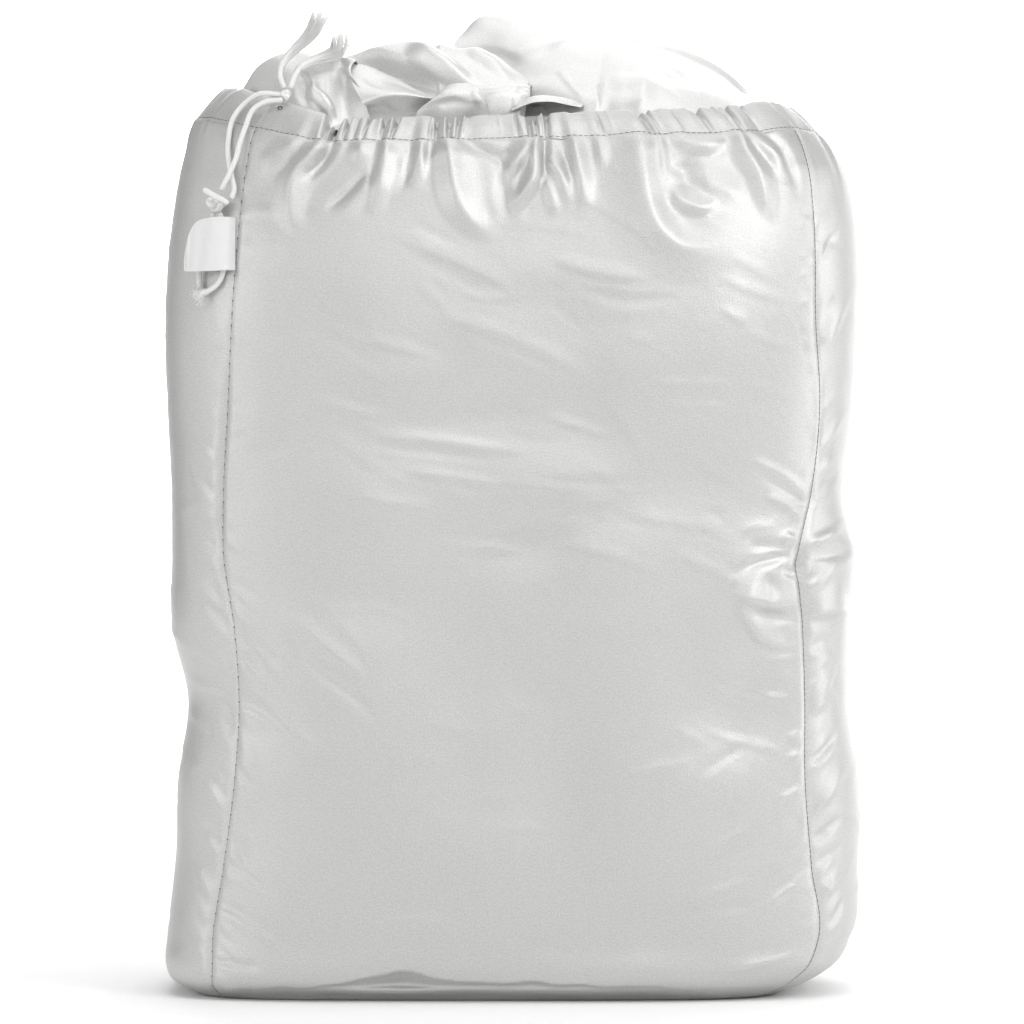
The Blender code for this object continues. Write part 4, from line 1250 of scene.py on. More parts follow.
# The hem's section: how far up from its lower edge towards its top, as a share, and how far out, in mm
HEM_SECTION = (
    (-0.05, 0.12), (0.05, 0.16), (0.16, 0.55), (0.36, 0.95), (0.6, 1.15), (0.82, 1.05), (0.95, 0.6),
    (1.0, -0.1), (0.96, -0.8), (0.75, -1.4), (0.45, -1.5), (0.2, -1.1), (0.02, -0.5),
)


def twice_round(ring):
    """The same closed ring with twice the points."""
    count = len(ring)
    wrapped = np.concatenate([ring[-2:], ring, ring[:3]])
    return through(np.arange(-2, count + 3), wrapped, np.arange(2 * count) / 2)


def ruffles(count, strength, pitch):
    """The phase of the small pleats round the hem, and how far each leans."""
    rng = np.random.default_rng(23)
    wander = ripples(rng, 4, count, 1, 26)[1]
    wavelength = 13.0 - 8.8 * strength ** 0.7 + 1.6 * wander
    phase = np.cumsum(2 * math.pi * pitch / wavelength)
    phase *= 2 * math.pi * round(phase[-1] / (2 * math.pi)) / phase[-1]
    lean = ripples(rng, 4, count, 1, 40)[1] * 1.4
    return phase, lean


def make_hem(stitched, smooth, rim, silver, dark):
    """The drawstring hem: a flat tube of cloth in small pleats, and a dark disc of painted shade in the
    cord's hole. Returns the line of its stitches.
    """
    lower, upper, level = twice_round(stitched), twice_round(rim), twice_round(smooth)
    count = len(lower)
    strength = np.interp(np.arange(count) / 2, np.arange(COLUMNS), gather_strength(stitched[:, 0]))
    along = np.roll(level, -1, axis=0) - np.roll(level, 1, axis=0)
    out = np.cross(along, upper - level)
    out /= np.linalg.norm(out, axis=1)[:, None]
    relief = np.einsum("ij,ij->i", lower - level, out)[:, None]
    climb = upper - level
    phase, lean = ruffles(count, strength, COLUMN_PITCH / 2)
    section = np.array(HEM_SECTION)
    wrapped = np.concatenate([section[-2:], section, section[:2]])
    places = np.arange(HEM_ROWS) * len(section) / HEM_ROWS
    profile = through(np.arange(-2, len(section) + 2), wrapped, places)
    rng = np.random.default_rng(29)
    crumples = ripples(rng, HEM_ROWS, count, 9, 12) * 0.16
    rows = []
    for row, (share, proud) in enumerate(profile):
        wave = 1.2 - 2.4 * np.abs(np.sin((phase + lean * share * 3) / 2)) ** 0.8
        held = 0.25 + 0.75 * np.clip(math.sin(math.pi * np.clip(share * 0.8 + 0.1, 0, 1)), 0, 1)
        amount = (SHALLOWEST_PLEATS + 0.34 * strength ** 1.6) * held
        follow = relief * (1 - 0.7 * np.clip(share, 0, 1))
        for at, half, depth in HEM_PLEATS:
            x = level[:, 0] / MM - at - 0.8 * math.sin(at) * share
            pleat = depth * held * np.exp(-(x / half) ** 2) / np.maximum(amount, SHALLOWEST_PLEATS)
            wave = wave - np.where(level[:, 1] < 0, pleat, 0)
        lift = -0.7 * strength * (1 - wave) * np.clip((share - 0.5) * 2, 0, 1) + crumples[row] * 0.6
        outwards = follow + (proud + wave * amount + crumples[row])[:, None] * MM
        rows.append(level + climb * share + out * outwards + np.array((0, 0, 1)) * (lift * MM)[:, None])
    grid = np.array(rows)
    stitched_row = int(np.argmin(abs(profile[: HEM_ROWS // 2, 0] - HEM_STITCH)))
    sewn = grid[stitched_row] + out * 0.05 * MM
    # A dark disc of painted shade in the cord's hole, in rings that sink a little into it
    from_hole = np.hypot(grid[:, :, 0] - CORD_HOLE[0] * MM, grid[:, :, 2] - CORD_HOLE[1] * MM)
    from_hole = np.where(grid[:, :, 1] < 0, 0, 1) + from_hole
    row, column = np.unravel_index(np.argmin(from_hole), from_hole.shape)
    hole = grid[row, column] + out[column] * 0.25 * MM
    tangent = along[column] / np.linalg.norm(along[column])
    upright = np.cross(out[column], tangent)
    ring = tangent[:, None] * np.cos(HOLE_ANGLES) * HOLE_BREADTH + upright[:, None] * np.sin(HOLE_ANGLES)
    discs = [hole + ring.T * size * MM - out[column] * (1 - size) * 0.5 * MM for size in (1.0, 0.5, 0.05)]
    cord_hole_shade_disc = cloth_mesh("cord_hole_shade_in_hem", [patch(np.array(discs)[:, ::-1], closed=True)], dark)
    belongs(cord_hole_shade_disc, "bag_cloth")
    grid = np.concatenate([grid, grid[:1]])
    piece = cloth_mesh("hem_cloth", [patch(grid, closed=True)], silver)
    belongs(piece, "bag_cloth")
    return np.concatenate([sewn, sewn[:1]])


def make_base(ring, silver):
    """The bag's bottom panel, flat on what it stands on."""
    centre = ring.mean(axis=0)
    shares = np.linspace(1.0, 0.03, 30)[:, None, None]
    grid = centre + (ring - centre) * shares
    rng = np.random.default_rng(5)
    grid[:, :, 2] = (0.35 + 0.12 * ripples(rng, 30, COLUMNS, 6, 60)) * MM
    grid = grid[:, ::-2]
    measure = np.stack([grid[:, :, 0], grid[:, :, 1]], axis=2)
    measure = np.concatenate([measure, measure[:, :1]], axis=1)
    piece = cloth_mesh("base_cloth", [patch(grid, measure, closed=True)], silver)
    belongs(piece, "bag_cloth", "base")


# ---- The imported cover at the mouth

# Each leaf of the cover is lofted through lines, from its front lower edge over its crest to its back, and
# each line runs from left to right. Its folds are placed by where they show from the front: height, widths
# of the left and right sides, and points. Lengths are in millimetres, and slack is spare length as a share.
LEAF_COLUMNS = ("columns", "rows", "slack", "lines", "folds")
COVER_LEAVES = {
    "left_lobe": (
        60, 96, 0.012,
        (
            ((-121, -40, 398), (-112, -48, 396), (-100, -54, 394), (-88, -54, 393)),
            ((-122, -34, 404), (-113, -42, 405), (-101, -48, 406), (-88, -50, 404)),
            ((-123, -26, 409), (-115, -30, 416), (-103, -36, 420), (-88, -38, 417)),
            ((-123, -20, 411), (-115.5, -22, 421.5), (-101, -24, 427.8), (-86, -24, 425)),
            ((-123, -8, 408), (-114, -6, 418), (-100, -6, 423), (-84, -6, 420)),
            ((-122, 8, 402), (-112, 12, 407), (-98, 14, 409), (-82, 14, 406)),
            ((-120, 18, 392), (-108, 24, 393), (-96, 26, 393), (-80, 26, 392)),
        ),
        ((-1.7, 2, 3, ((-122, 411), (-117, 407), (-113, 406))),),
    ),
    "pocket": (
        90, 84, 0.012,
        (
            ((-104, -54, 390), (-92, -57, 389), (-82, -59, 389), (-72, -58, 388), (-62, -59, 388)),
            ((-103, -50, 403), (-92, -54, 404), (-84, -55, 403), (-76, -50, 404), (-66, -57, 403)),
            ((-101, -45, 410), (-90, -49, 411), (-83, -48, 411), (-76, -43, 411), (-68, -53, 409)),
            ((-99, -40, 416), (-88, -43, 418), (-81, -42, 418.5), (-75, -40, 418), (-71, -46, 416)),
            ((-97, -36, 420.6), (-86, -37, 423), (-78, -38, 424), (-74, -40, 422.8), (-71, -41, 421)),
            ((-95, -30, 417), (-84, -31, 419), (-76, -32, 419), (-72, -34, 418), (-68, -34, 416)),
            ((-93, -24, 402), (-82, -26, 403), (-74, -28, 402), (-69, -30, 401), (-64, -30, 400)),
        ),
        (
            (4.0, 3.4, 2.2, ((-88, 414), (-89, 407), (-85.3, 403.6), (-82.6, 400), (-80, 392))),
            (-3.4, 3, 5, ((-77, 423), (-80, 413), (-80, 405), (-76, 396))),
            (3.7, 2.0, 4, ((-77, 425), (-69.7, 415), (-65.1, 408), (-63.4, 394))),
            (-2.5, 3, 3, ((-95, 418), (-94, 408), (-91, 399))),
        ),
    ),
    "bright_fold": (
        100, 84, 0.012,
        (
            ((-67, -53, 388), (-56, -53, 388), (-46, -53, 388), (-33, -52, 388)),
            ((-65, -54, 399), (-57, -53, 400), (-47, -53, 400), (-34, -52, 400)),
            ((-67, -60, 402), (-60, -60.5, 404.6), (-48, -60, 405.4), (-34.6, -57, 403.6)),
            ((-71, -53, 409), (-60, -54, 409), (-49, -54, 408), (-35, -54, 404.6)),
            ((-74, -44, 416.5), (-64, -44, 415), (-52, -45, 411), (-36.5, -50, 404.6)),
            ((-76, -39, 421.6), (-66, -37, 420.4), (-54, -38, 415), (-37, -46, 405.4)),
            ((-73, -34, 418), (-65, -32, 416), (-53, -33, 410), (-36, -41, 400)),
            ((-72, -30, 404), (-64, -28, 402), (-52, -29, 398), (-35, -38, 394)),
        ),
        (
            (0.9, 1.4, 2.2, ((-58, 401.6), (-50, 400.4), (-42, 401.4))),
            (-0.8, 2, 3, ((-69, 415), (-60, 411), (-50, 408.4))),
        ),
    ),
    "roll": (
        130, 110, 0.010,
        (
            ((-70, -30, 400), (-54, -34, 398), (-38, -38, 396), (-22, -42, 394), (-8, -46, 394),
             (4, -46, 394)),
            ((-73, -30, 414), (-58, -34, 411), (-40, -38, 406), (-24, -42, 403), (-9, -46, 402),
             (5, -45, 401)),
            ((-75, -29, 420), (-60, -32, 419), (-42, -36, 415), (-26, -41, 410), (-9, -44, 408),
             (6, -43, 406)),
            ((-76, -27, 423.5), (-61, -30, 425), (-44, -34, 423), (-28, -38, 417.5), (-10, -41, 413),
             (7, -39, 410.5)),
            ((-76, -25, 425.5), (-62, -26, 429.5), (-46, -28, 430), (-30, -31, 426), (-11, -35, 419),
             (8, -34, 414)),
            ((-75.5, -22, 425.5), (-62, -22, 430), (-48, -22, 433), (-32, -24, 430.7), (-13, -26, 425.3),
             (8.7, -27, 415.5)),
            ((-74, -10, 420), (-60, -6, 424), (-46, -4, 426), (-30, -6, 424), (-12, -8, 419),
             (8, -12, 411)),
            ((-72, 4, 404), (-58, 10, 404), (-44, 12, 404), (-28, 12, 404), (-10, 8, 402), (8, 4, 400)),
        ),
        (
            (6.4, 8, 5, ((-48, 433), (-37.7, 424.5), (-23.9, 415.4), (-14, 408))),
            (-7.4, 3, 9, ((-78, 424), (-62, 419.4), (-48, 414.2), (-37, 409.5), (-28, 405))),
            (-4.4, 3, 8, ((-38, 433), (-20, 421.5), (-6, 411))),
            (3.0, 3, 7, ((-24, 431), (-9, 421.5), (2, 411.5))),
        ),
    ),
    "turned_lip": (
        60, 70, 0.010,
        (
            ((-43, -58, 388), (-36, -59, 388), (-26, -60, 388), (-17, -59, 388), (-10, -57, 388)),
            ((-42, -59, 398.5), (-34, -62, 400.5), (-25, -63, 400.5), (-17, -62.5, 400), (-11, -59, 399)),
            ((-39, -60, 401), (-32, -64, 405), (-24, -65, 405), (-16.5, -64, 404.5), (-12, -60, 402)),
            ((-36, -57, 403.5), (-29.5, -59, 408.5), (-23, -60, 409), (-16.5, -59, 408.5), (-13, -56, 405)),
            ((-34.5, -52, 405), (-28, -53, 410.4), (-23, -53, 410.9), (-16.5, -52, 410.5),
             (-13.5, -51, 406.5)),
            ((-34, -47, 402), (-28, -47, 407), (-22, -47, 408), (-15, -46, 407), (-12, -45, 403)),
            ((-34, -42, 397), (-28, -42, 399), (-22, -42, 400), (-14, -41, 399), (-12, -40, 396)),
        ),
        (
            (1.4, 1.6, 2.0, ((-17, 409), (-15.6, 404), (-12, 398))),
            (-1.1, 2, 2, ((-34, 400), (-26, 402), (-19, 401))),
        ),
    ),
    "right_flap": (
        60, 66, 0.010,
        (
            ((-16, -56, 388), (-8, -57, 388), (0, -56, 390), (5, -53, 392)),
            ((-16, -57, 401), (-8, -58, 402), (0, -57, 402), (7, -53, 402.4)),
            ((-15.5, -56, 404.6), (-7, -57, 406), (1, -56, 406), (8, -51, 406)),
            ((-15, -52, 408), (-6, -53, 409.2), (1, -52, 410.2), (8.3, -47, 410)),
            ((-14, -46, 408), (-5, -47, 409.4), (2, -45, 410.6), (9, -42, 410.6)),
            ((-12, -38, 400), (-4, -38, 402), (3, -36, 402), (9, -34, 402)),
        ),
        (
            (-3.6, 1.4, 3.2, ((1.4, 412), (2.6, 407), (1.6, 401), (0, 396))),
            (1.4, 1.6, 1.6, ((4.4, 409), (7, 405), (9, 404))),
        ),
    ),
    "arched_flap": (
        70, 50, 0.008,
        (
            ((0, -61, 398.0), (5, -62, 400.2), (10, -62.5, 401.8), (16, -62.5, 402.0), (23, -62, 401.1),
             (31, -60, 399.6)),
            ((-0.5, -56, 399.4), (5, -56, 403), (10.5, -56, 404.9), (16.5, -56, 404.9), (24, -56, 403.6),
             (32, -55, 401)),
            ((-1, -50, 400), (5, -50, 403.9), (11, -50, 405.7), (17.5, -50, 405.7), (25, -50, 404.4),
             (33, -49, 401.6)),
            ((-2, -44, 399), (4, -44, 403), (11, -44, 405), (18, -44, 405), (26, -44, 403.6),
             (34, -44, 401)),
            ((-4, -38, 396), (3, -38, 399), (11, -38, 401), (18, -38, 401), (27, -38, 400), (36, -40, 398)),
        ),
        (),
    ),
    "rear_sheet": (
        150, 174, 0.008,
        (
            ((9, -46, 389), (34, -59, 388), (52, -61, 388), (70, -61, 393), (88, -58, 392),
             (102, -50, 392), (112, -36, 392)),
            ((5, -40, 404), (32, -51, 403), (50, -54, 401.5), (70, -55, 401), (88, -51, 399.5),
             (102, -44, 399), (112, -30, 399)),
            ((1, -34, 413), (26, -40, 412), (48, -43, 410), (70, -44, 409), (88, -40, 406.5),
             (102, -32, 405), (111, -20, 404)),
            ((-16, -14, 415), (18, -22, 422), (44, -24, 420), (68, -24, 417), (86, -20, 413),
             (101, -14, 409), (110, -6, 407)),
            ((-26, 4, 424), (6, 0, 434), (36, -2, 431), (64, -4, 426), (84, -4, 420), (100, 0, 414),
             (109, 6, 410)),
            ((-26.4, 18, 436), (-4, 20, 443), (26, 20, 440.5), (56, 18, 435), (80, 14, 428),
             (98, 14, 419), (108, 16, 411)),
            ((-25.2, 28, 437.6), (-15, 30, 448.4), (4, 31, 446), (24, 31, 443.8), (42, 30, 440.8),
             (66, 27, 436), (84, 24, 431), (104, 20, 418), (109, 18, 413)),
            ((-25.8, 33, 429), (-10, 36, 441), (14, 37, 438), (46, 36, 432), (76, 33, 425),
             (98, 28, 411), (108, 22, 407)),
            ((-28, 52, 408), (-6, 56, 412), (20, 58, 412), (50, 58, 410), (78, 55, 406), (98, 46, 402),
             (106, 38, 400)),
            ((-30, 58, 396), (-6, 62, 396), (20, 63, 396), (50, 63, 396), (78, 60, 394), (98, 52, 394),
             (108, 42, 394)),
        ),
        (
            (2.0, 6, 9, ((56, 392), (59, 406), (60, 420), (56, 434))),
            (-1.8, 6, 8, ((42, 392), (43, 406), (43, 420), (40, 434))),
            (1.6, 1.8, 6, ((-6, 421), (7.4, 426), (24.3, 436.4), (32, 441))),
            (-1.2, 4, 3, ((-22, 432), (-6, 428), (8, 421))),
            (0.8, 3, 4, ((72, 424), (84, 414), (92, 404))),
            (-0.8, 3, 4, ((66, 420), (76, 408), (82, 400))),
            (0.8, 2, 3, ((20, 420), (28, 410), (34, 402))),
        ),
    ),
}

# Ridges of the folded cover under those leaves: both ends of each crest and its half width
BED_COLUMNS = ("x0", "y0", "z0", "x1", "y1", "z1", "half_width")
BED_RIDGES = (
    (-112, 12, 410, -84, 32, 413, 20), (-84, 36, 417, -34, 40, 424, 22), (-60, 8, 418, 0, 14, 420, 22),
    (30, 38, 430, 90, 26, 416, 24), (-112, -20, 408, -60, -30, 412, 22), (-40, -20, 412, 40, -24, 408, 24),
)
BED_FLOOR = 394
BED_ROWS = 84


def loft(lines, rows, columns):
    """A grid of points on a smooth surface through lines of points."""
    lines = np.array([route(line, columns) for line in lines])
    at = running(np.linalg.norm(np.diff(lines, axis=0), axis=2).mean(axis=1))
    return through(at, lines, np.linspace(0, at[-1], rows))


def open_ripples(rng, rows, columns, tall, wide):
    """Smooth random heights on a grid that isn't closed."""
    spare = int(3 * wide)
    return ripples(rng, rows, columns + spare, tall, wide)[:, :columns]


def crumple(rng, grid, slack, closed=False):
    """Lets a leaf of cloth take up a little spare length, so that it wrinkles."""
    rows, columns = grid.shape[:2]
    normals = facing(grid, closed)
    start = grid + normals * (open_ripples(rng, rows, columns, 14, 14) * 0.35 * MM)[:, :, None]
    field = np.ones((rows, columns))
    spare = slack * (0.4 + np.abs(open_ripples(rng, rows, columns, 20, 20)))
    return settle(
        start, grid, normals, spare, spare, 0.02 * field, 0.01 * field, -1.6 * MM * field, 1.6 * MM * field,
        90, closed,
    )


def cover_bed(rng, rim):
    """The folded cover's top inside the mouth, under its leaves."""
    centre = rim.mean(axis=0)
    shares = np.linspace(0.97, 0.03, BED_ROWS)[:, None, None]
    grid = centre + (rim - centre) * shares
    x, y = grid[:, :, 0] / MM, grid[:, :, 1] / MM
    height = np.zeros(x.shape)
    for row in BED_RIDGES:
        ridge = named(BED_COLUMNS, row)
        wx, wy = ridge["x1"] - ridge["x0"], ridge["y1"] - ridge["y0"]
        t = np.clip(((x - ridge["x0"]) * wx + (y - ridge["y0"]) * wy) / (wx * wx + wy * wy), 0, 1)
        away = np.hypot(x - ridge["x0"] - t * wx, y - ridge["y0"] - t * wy)
        crest = ridge["z0"] + (ridge["z1"] - ridge["z0"]) * t - BED_FLOOR
        height = np.maximum(height, crest * np.exp(-(away / ridge["half_width"]) ** 2))
    folds = np.abs(ripples(rng, BED_ROWS, COLUMNS, 16, 60)) * 4
    folds = folds - np.abs(ripples(rng, BED_ROWS, COLUMNS, 9, 34)) * 2
    inside = 1 - shares[:, :, 0] ** 8
    grid[:, :, 2] = (BED_FLOOR + (height + folds) * inside - 6 * (1 - inside)) * MM
    return crumple(rng, grid, 0.02, closed=True)


def make_cover(rim, silver):
    """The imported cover's folds at the mouth: its bed and the leaves that stand out of it."""
    rng = np.random.default_rng(31)
    patches = [patch(cover_bed(rng, rim)[:, ::2], closed=True)]
    for row in COVER_LEAVES.values():
        leaf = named(LEAF_COLUMNS, row)
        grid = loft(leaf["lines"], leaf["rows"], leaf["columns"])
        normals = facing(grid, closed=False)
        relief = np.zeros(grid.shape[:2])
        for height, left, right, points in leaf["folds"]:
            press(relief, grid[:, :, 0], grid[:, :, 2], points, height, left, right)
        crest = np.argmax(grid[:, :, 2], axis=0)[None, :] - np.arange(leaf["rows"])[:, None]
        relief = softened(relief * np.clip(1 + crest / 8, 0, 1))
        grid = (grid + normals * relief[:, :, None]) * MM
        patches.append(patch(crumple(rng, grid, leaf["slack"])))
    piece = cloth_mesh("packed_cover_cloth", patches, silver)
    belongs(piece, "cover_cloth", "packed_cover")


# ---- Stitching


def stitch_tree(name, finish):
    """Geometry Nodes that lay stitches along a line: its inputs are their pitch, length and thickness."""
    tree = bpy.data.node_groups.new(name, "GeometryNodeTree")
    tree.interface.new_socket("Geometry", in_out="INPUT", socket_type="NodeSocketGeometry")
    for label in ("Pitch", "Stitch Length", "Thread Thickness"):
        socket = tree.interface.new_socket(label, in_out="INPUT", socket_type="NodeSocketFloat")
        socket.subtype = "DISTANCE"
    tree.interface.new_socket("Geometry", in_out="OUTPUT", socket_type="NodeSocketGeometry")

    def add(kind, **settings):
        """A node with its settings."""
        made = tree.nodes.new(kind)
        for setting, value in settings.items():
            setattr(made, setting, value)
        return made

    given, result = add("NodeGroupInput"), add("NodeGroupOutput")
    line = add("GeometryNodeMeshToCurve")
    points = add("GeometryNodeCurveToPoints", mode="LENGTH")
    stitch = add("GeometryNodeMeshUVSphere")
    stitch.inputs["Segments"].default_value = 6
    stitch.inputs["Rings"].default_value = 5
    stitch.inputs["Radius"].default_value = 0.5
    size = add("ShaderNodeCombineXYZ")
    placed = add("GeometryNodeInstanceOnPoints")
    real = add("GeometryNodeRealizeInstances")
    smooth = add("GeometryNodeSetShadeSmooth")
    finished = add("GeometryNodeSetMaterial")
    finished.inputs["Material"].default_value = finish
    for source, output, target, socket in (
        (given, "Geometry", line, "Mesh"), (line, "Curve", points, "Curve"),
        (given, "Pitch", points, "Length"),
        (points, "Points", placed, "Points"), (points, "Rotation", placed, "Rotation"),
        (stitch, "Mesh", placed, "Instance"), (given, "Thread Thickness", size, "X"),
        (given, "Thread Thickness", size, "Y"), (given, "Stitch Length", size, "Z"),
        (size, "Vector", placed, "Scale"), (placed, "Instances", real, "Geometry"),
        (real, "Geometry", smooth, "Geometry"), (smooth, "Geometry", finished, "Geometry"),
        (finished, "Geometry", result, "Geometry"),
    ):
        tree.links.new(source.outputs[output], target.inputs[socket])
    return tree


def stitch_row(name, lines, pitch, length, thickness, finish):
    """One piece of stitches along lines of points."""
    mesh = bpy.data.meshes.new(name)
    points, edges = [], []
    for line in lines:
        edges += [(len(points) + i, len(points) + i + 1) for i in range(len(line) - 1)]
        points += [tuple(point) for point in line]
    mesh.from_pydata(points, edges, [])
    piece = in_scene(name, mesh)
    tree = stitch_tree(name, finish)
    sewn = piece.modifiers.new("stitches", "NODES")
    sewn.node_group = tree
    values = {"Pitch": pitch, "Stitch Length": length, "Thread Thickness": thickness}
    for item in tree.interface.items_tree:
        if item.in_out == "INPUT" and item.name in values:
            sewn[item.identifier] = values[item.name] * MM
    take_in_modifiers(piece)
    belongs(piece, "bag_cloth")


def seam_line(cloth, normals, panel, depth, skip=0.0):
    """The line of a panel's left seam, a depth in millimetres off the cloth."""
    column = spans()[panel][0]
    line = cloth[4:-3, column] + normals[4:-3, column] * depth * MM
    along = length_along(line)
    return read_off(line, along, np.arange(skip * MM, along[-1], 1.0 * MM))


# Stitches along each side seam, in millimetres: the seams, the depth off the cloth, where the first one is,
# their pitch, length and thickness, and their finish
SEAM_COLUMNS = ("panels", "depth", "skip", "pitch", "length", "thickness", "thread")
SEAMS = {
    "left_seam_stitches": (("front",), 0.02, 2.8, 5.6, 4.6, 0.34, "pale_thread"),
    # Dark dots of painted shade where the left seam's needle holes are
    "left_seam_hole_shade": (("front",), 0.0, 0.0, 5.6, 0.95, 0.70, "needle_holes"),
    # These stitches, nearly unbroken and near-black, are partly thread and partly painted shade in the
    # seam's groove
    "right_seam_stitches": (("right_gusset",), 0.06, 0.0, 2.5, 2.55, 0.34, "grey_thread"),
    "back_seam_stitches": (("back", "left_gusset"), 0.07, 0.0, 2.5, 2.55, 0.34, "grey_thread"),
}
HEM_STITCHES = (2.6, 2.3, 0.30)  # pitch, length and thickness


def make_seams(cloth, threads):
    """The stitches along the side seams, and dark dots of painted shade in the left seam's needle holes."""
    normals = facing(cloth)
    for name, row in SEAMS.items():
        seam = named(SEAM_COLUMNS, row)
        lines = [seam_line(cloth, normals, panel, seam["depth"], seam["skip"]) for panel in seam["panels"]]
        stitch_row(name, lines, seam["pitch"], seam["length"], seam["thickness"], threads[seam["thread"]])


# ---- Settings


def colour(label, about, default):
    """A setting that holds a colour."""
    return FloatVectorProperty(
        name=label, description=about, default=default, size=3, min=0.0, max=1.0, subtype="COLOR",
    )


def factor(label, about, default, most=1.0):
    """A setting from 0 up to the most it may be."""
    return FloatProperty(
        name=label, description=about, default=default, min=0.0, max=most, subtype="FACTOR",
    )


class CarCoverBagSettings(bpy.types.PropertyGroup):
    """The storage bag's cloth and folds."""

    silver: colour("Silver", "Colour of the bag's silver coat", (0.56, 0.56, 0.55))
    metallic: factor("Metallic", "How metallic the bag's coat looks", 0.6)
    roughness: factor("Roughness", "How dull the bag's coat is", 0.42)
    crease_depth: factor("Crease Depth", "Depth of the front's creases, as a share of the usual", 1.0, 3.0)
    gather_breadth: factor("Gather Breadth", "Breadth of the folds under the hem", 1.6, 3.0)


class CarCoverContentsSettings(bpy.types.PropertyGroup):
    """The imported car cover's cloth."""

    # Lighter than the bag's silver: partly the cover's own cloth, partly painted light for the brighter
    # light at the mouth
    silver: colour("Silver", "Colour of the packed cover", (0.71, 0.71, 0.70))
    metallic: factor("Metallic", "How metallic the packed cover looks", 0.5)
    roughness: factor("Roughness", "How dull the packed cover is", 0.44)


class CarCoverTrimSettings(bpy.types.PropertyGroup):
    """Cords, label and thread."""

    cord_diameter: FloatProperty(
        name="Cord Diameter", description="Thickness of the drawstring", default=0.0024, min=0.0005,
        max=0.01, subtype="DISTANCE", unit="LENGTH", precision=4,
    )
    cord_colour: colour("Cord Colour", "Colour of the drawstring", (0.84, 0.84, 0.83))
    fibre_colour: colour("Fibre Colour", "Colour of the cord's frayed ends", (0.96, 0.96, 0.95))
    label_thickness: FloatProperty(
        name="Label Thickness", description="Thickness of the size label's tape", default=0.00032,
        min=0.0001, max=0.002, subtype="DISTANCE", unit="LENGTH", precision=5,
    )
    label_colour: colour("Label Colour", "Colour of the size label", (0.72, 0.72, 0.72))
    # The thread's near-black colour is partly its own and partly painted shade along the seams and the hem
    thread_colour: colour("Thread Colour", "Colour of the thread in most seams", (0.11, 0.11, 0.108))
    pale_thread_colour: colour("Pale Thread Colour", "Colour of the left seam's thread", (0.34, 0.34, 0.33))


class CarCoverStageSettings(bpy.types.PropertyGroup):
    """Floor and light."""

    brightness: factor("Brightness", "Strength of the lamps as a share of the studio's own", 1.0, 4.0)
    surroundings: factor("Surroundings", "Strength of the even light from all sides", 0.34, 4.0)
    paper: colour("Paper", "Colour of the floor and backdrop", (0.96, 0.96, 0.96))


# ---- Operators


def ready(name, maker, *values):
    """The finish of that name, made if there isn't one yet."""
    return bpy.data.materials.get(name) or maker(name, *values)


def wall_from(scene):
    """The bag's wall, as the scene's settings ask for it."""
    bag = scene.car_cover_bag
    return bag_wall(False, bag.crease_depth, bag.gather_breadth)


def bag_silver(scene):
    """The bag's silver-coated cloth."""
    bag = scene.car_cover_bag
    return ready("silver_cloth", silver_cloth, tuple(bag.silver), bag.metallic, bag.roughness)


def grey_thread(scene):
    """The dark thread of the hem and of all but the left seam: partly the thread's own colour, partly
    painted shade along the seam lines.
    """
    return ready("grey_thread", thread_finish, tuple(scene.car_cover_trim.thread_colour))


def hole_shade_finish():
    """A near-black finish that paints the shade inside the needle holes and inside the cord's hole."""
    return ready("needle_holes", thread_finish, (0.09, 0.09, 0.09))


class CARCOVER_OT_stage(bpy.types.Operator):
    """Set up the floor, the lamps and the camera"""

    bl_idname = "car_cover.stage"
    bl_label = "Stage"

    def execute(self, context):
        stage = context.scene.car_cover_stage
        make_stage(stage.brightness, stage.surroundings, tuple(stage.paper))
        return {"FINISHED"}


class CARCOVER_OT_cords(bpy.types.Operator):
    """Make the drawstring: its cords, knots and frayed ends"""

    bl_idname = "car_cover.cords"
    bl_label = "Drawstring"

    def execute(self, context):
        trim = context.scene.car_cover_trim
        white = ready("braided_cord", cord_finish, tuple(trim.cord_colour), BRAID_PITCH)
        make_cords(trim.cord_diameter, white)
        make_knots(trim.cord_diameter, white)
        make_frays(trim.cord_diameter, ready("cord_fibres", fibre_finish, tuple(trim.fibre_colour)))
        return {"FINISHED"}


class CARCOVER_OT_label(bpy.types.Operator):
    """Make the size label in the left seam"""

    bl_idname = "car_cover.label"
    bl_label = "Size Label"

    def execute(self, context):
        trim = context.scene.car_cover_trim
        make_label(trim.label_thickness, ready("label_tape", label_finish, tuple(trim.label_colour)))
        return {"FINISHED"}


class CARCOVER_OT_bag(bpy.types.Operator):
    """Make the bag's four side panels"""

    bl_idname = "car_cover.bag"
    bl_label = "Side Panels"

    def execute(self, context):
        make_bag(wall_from(context.scene), bag_silver(context.scene))
        return {"FINISHED"}


class CARCOVER_OT_hem(bpy.types.Operator):
    """Make the gathered hem and its stitches"""

    bl_idname = "car_cover.hem"
    bl_label = "Hem"

    def execute(self, context):
        cloth, base, rim, _, _ = wall_from(context.scene)
        sewn = make_hem(cloth[-1], base[-1], rim, bag_silver(context.scene), hole_shade_finish())
        # Dark thread: partly its own colour, partly painted shade along the hem's stitching
        stitch_row("hem_stitches", [sewn], *HEM_STITCHES, grey_thread(context.scene))
        return {"FINISHED"}


class CARCOVER_OT_base(bpy.types.Operator):
    """Make the bag's bottom panel"""

    bl_idname = "car_cover.base"
    bl_label = "Base"

    def execute(self, context):
        make_base(wall_from(context.scene)[0][0], bag_silver(context.scene))
        return {"FINISHED"}


class CARCOVER_OT_contents(bpy.types.Operator):
    """Make the folded car cover at the mouth"""

    bl_idname = "car_cover.contents"
    bl_label = "Packed Cover"

    def execute(self, context):
        cover = context.scene.car_cover_contents
        # The cover's lighter silver is partly its own tone and partly painted light
        finish = ready("cover_silver", silver_cloth, tuple(cover.silver), cover.metallic, cover.roughness)
        make_cover(wall_from(context.scene)[2], finish)
        return {"FINISHED"}


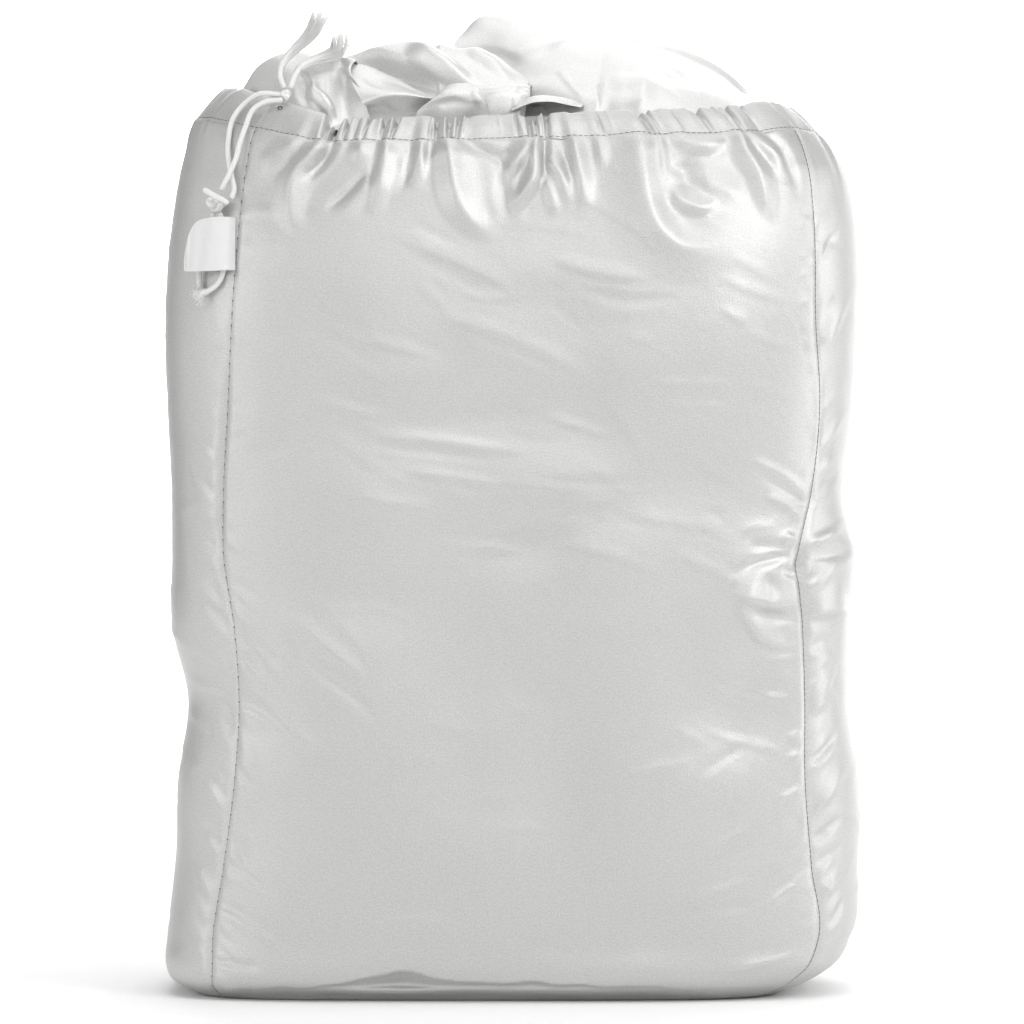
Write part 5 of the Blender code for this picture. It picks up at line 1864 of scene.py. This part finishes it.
class CARCOVER_OT_seams(bpy.types.Operator):
    """Sew the stitches along the side seams"""

    bl_idname = "car_cover.seams"
    bl_label = "Seams"

    def execute(self, context):
        pale = tuple(context.scene.car_cover_trim.pale_thread_colour)
        threads = {
            "pale_thread": ready("pale_thread", thread_finish, pale),
            "grey_thread": grey_thread(context.scene),
            "needle_holes": hole_shade_finish(),
        }
        make_seams(wall_from(context.scene)[0], threads)
        return {"FINISHED"}


MAKERS = (
    CARCOVER_OT_stage, CARCOVER_OT_cords, CARCOVER_OT_label, CARCOVER_OT_bag, CARCOVER_OT_hem,
    CARCOVER_OT_base, CARCOVER_OT_contents, CARCOVER_OT_seams,
)
SETTINGS = {
    "car_cover_bag": CarCoverBagSettings,
    "car_cover_contents": CarCoverContentsSettings,
    "car_cover_trim": CarCoverTrimSettings,
    "car_cover_stage": CarCoverStageSettings,
}


class CARCOVER_PT_panel(bpy.types.Panel):
    """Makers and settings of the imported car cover"""

    bl_idname = "CARCOVER_PT_panel"
    bl_label = "Packed Car Cover"
    bl_space_type = "VIEW_3D"
    bl_region_type = "UI"
    bl_category = "Car Cover"

    def draw(self, context):
        for group in SETTINGS:
            box = self.layout.box()
            held = getattr(context.scene, group)
            for name in held.__annotations__:
                box.prop(held, name)
        for maker in MAKERS:
            self.layout.operator(maker.bl_idname)


def register():
    """Adds the settings, the operators and the panel."""
    for group in SETTINGS.values():
        bpy.utils.register_class(group)
    for name, group in SETTINGS.items():
        setattr(bpy.types.Scene, name, PointerProperty(type=group))
    for maker in (*MAKERS, CARCOVER_PT_panel):
        bpy.utils.register_class(maker)


def unregister():
    """Takes the panel, the operators and the settings away again."""
    for maker in (CARCOVER_PT_panel, *reversed(MAKERS)):
        bpy.utils.unregister_class(maker)
    for name in SETTINGS:
        delattr(bpy.types.Scene, name)
    for group in reversed(SETTINGS.values()):
        bpy.utils.unregister_class(group)


def main():
    """Makes every piece in order."""
    register()
    bpy.ops.car_cover.stage()
    bpy.ops.car_cover.cords()
    bpy.ops.car_cover.label()
    bpy.ops.car_cover.bag()
    bpy.ops.car_cover.hem()
    bpy.ops.car_cover.base()
    bpy.ops.car_cover.contents()
    bpy.ops.car_cover.seams()


if __name__ == "__main__":
    main()
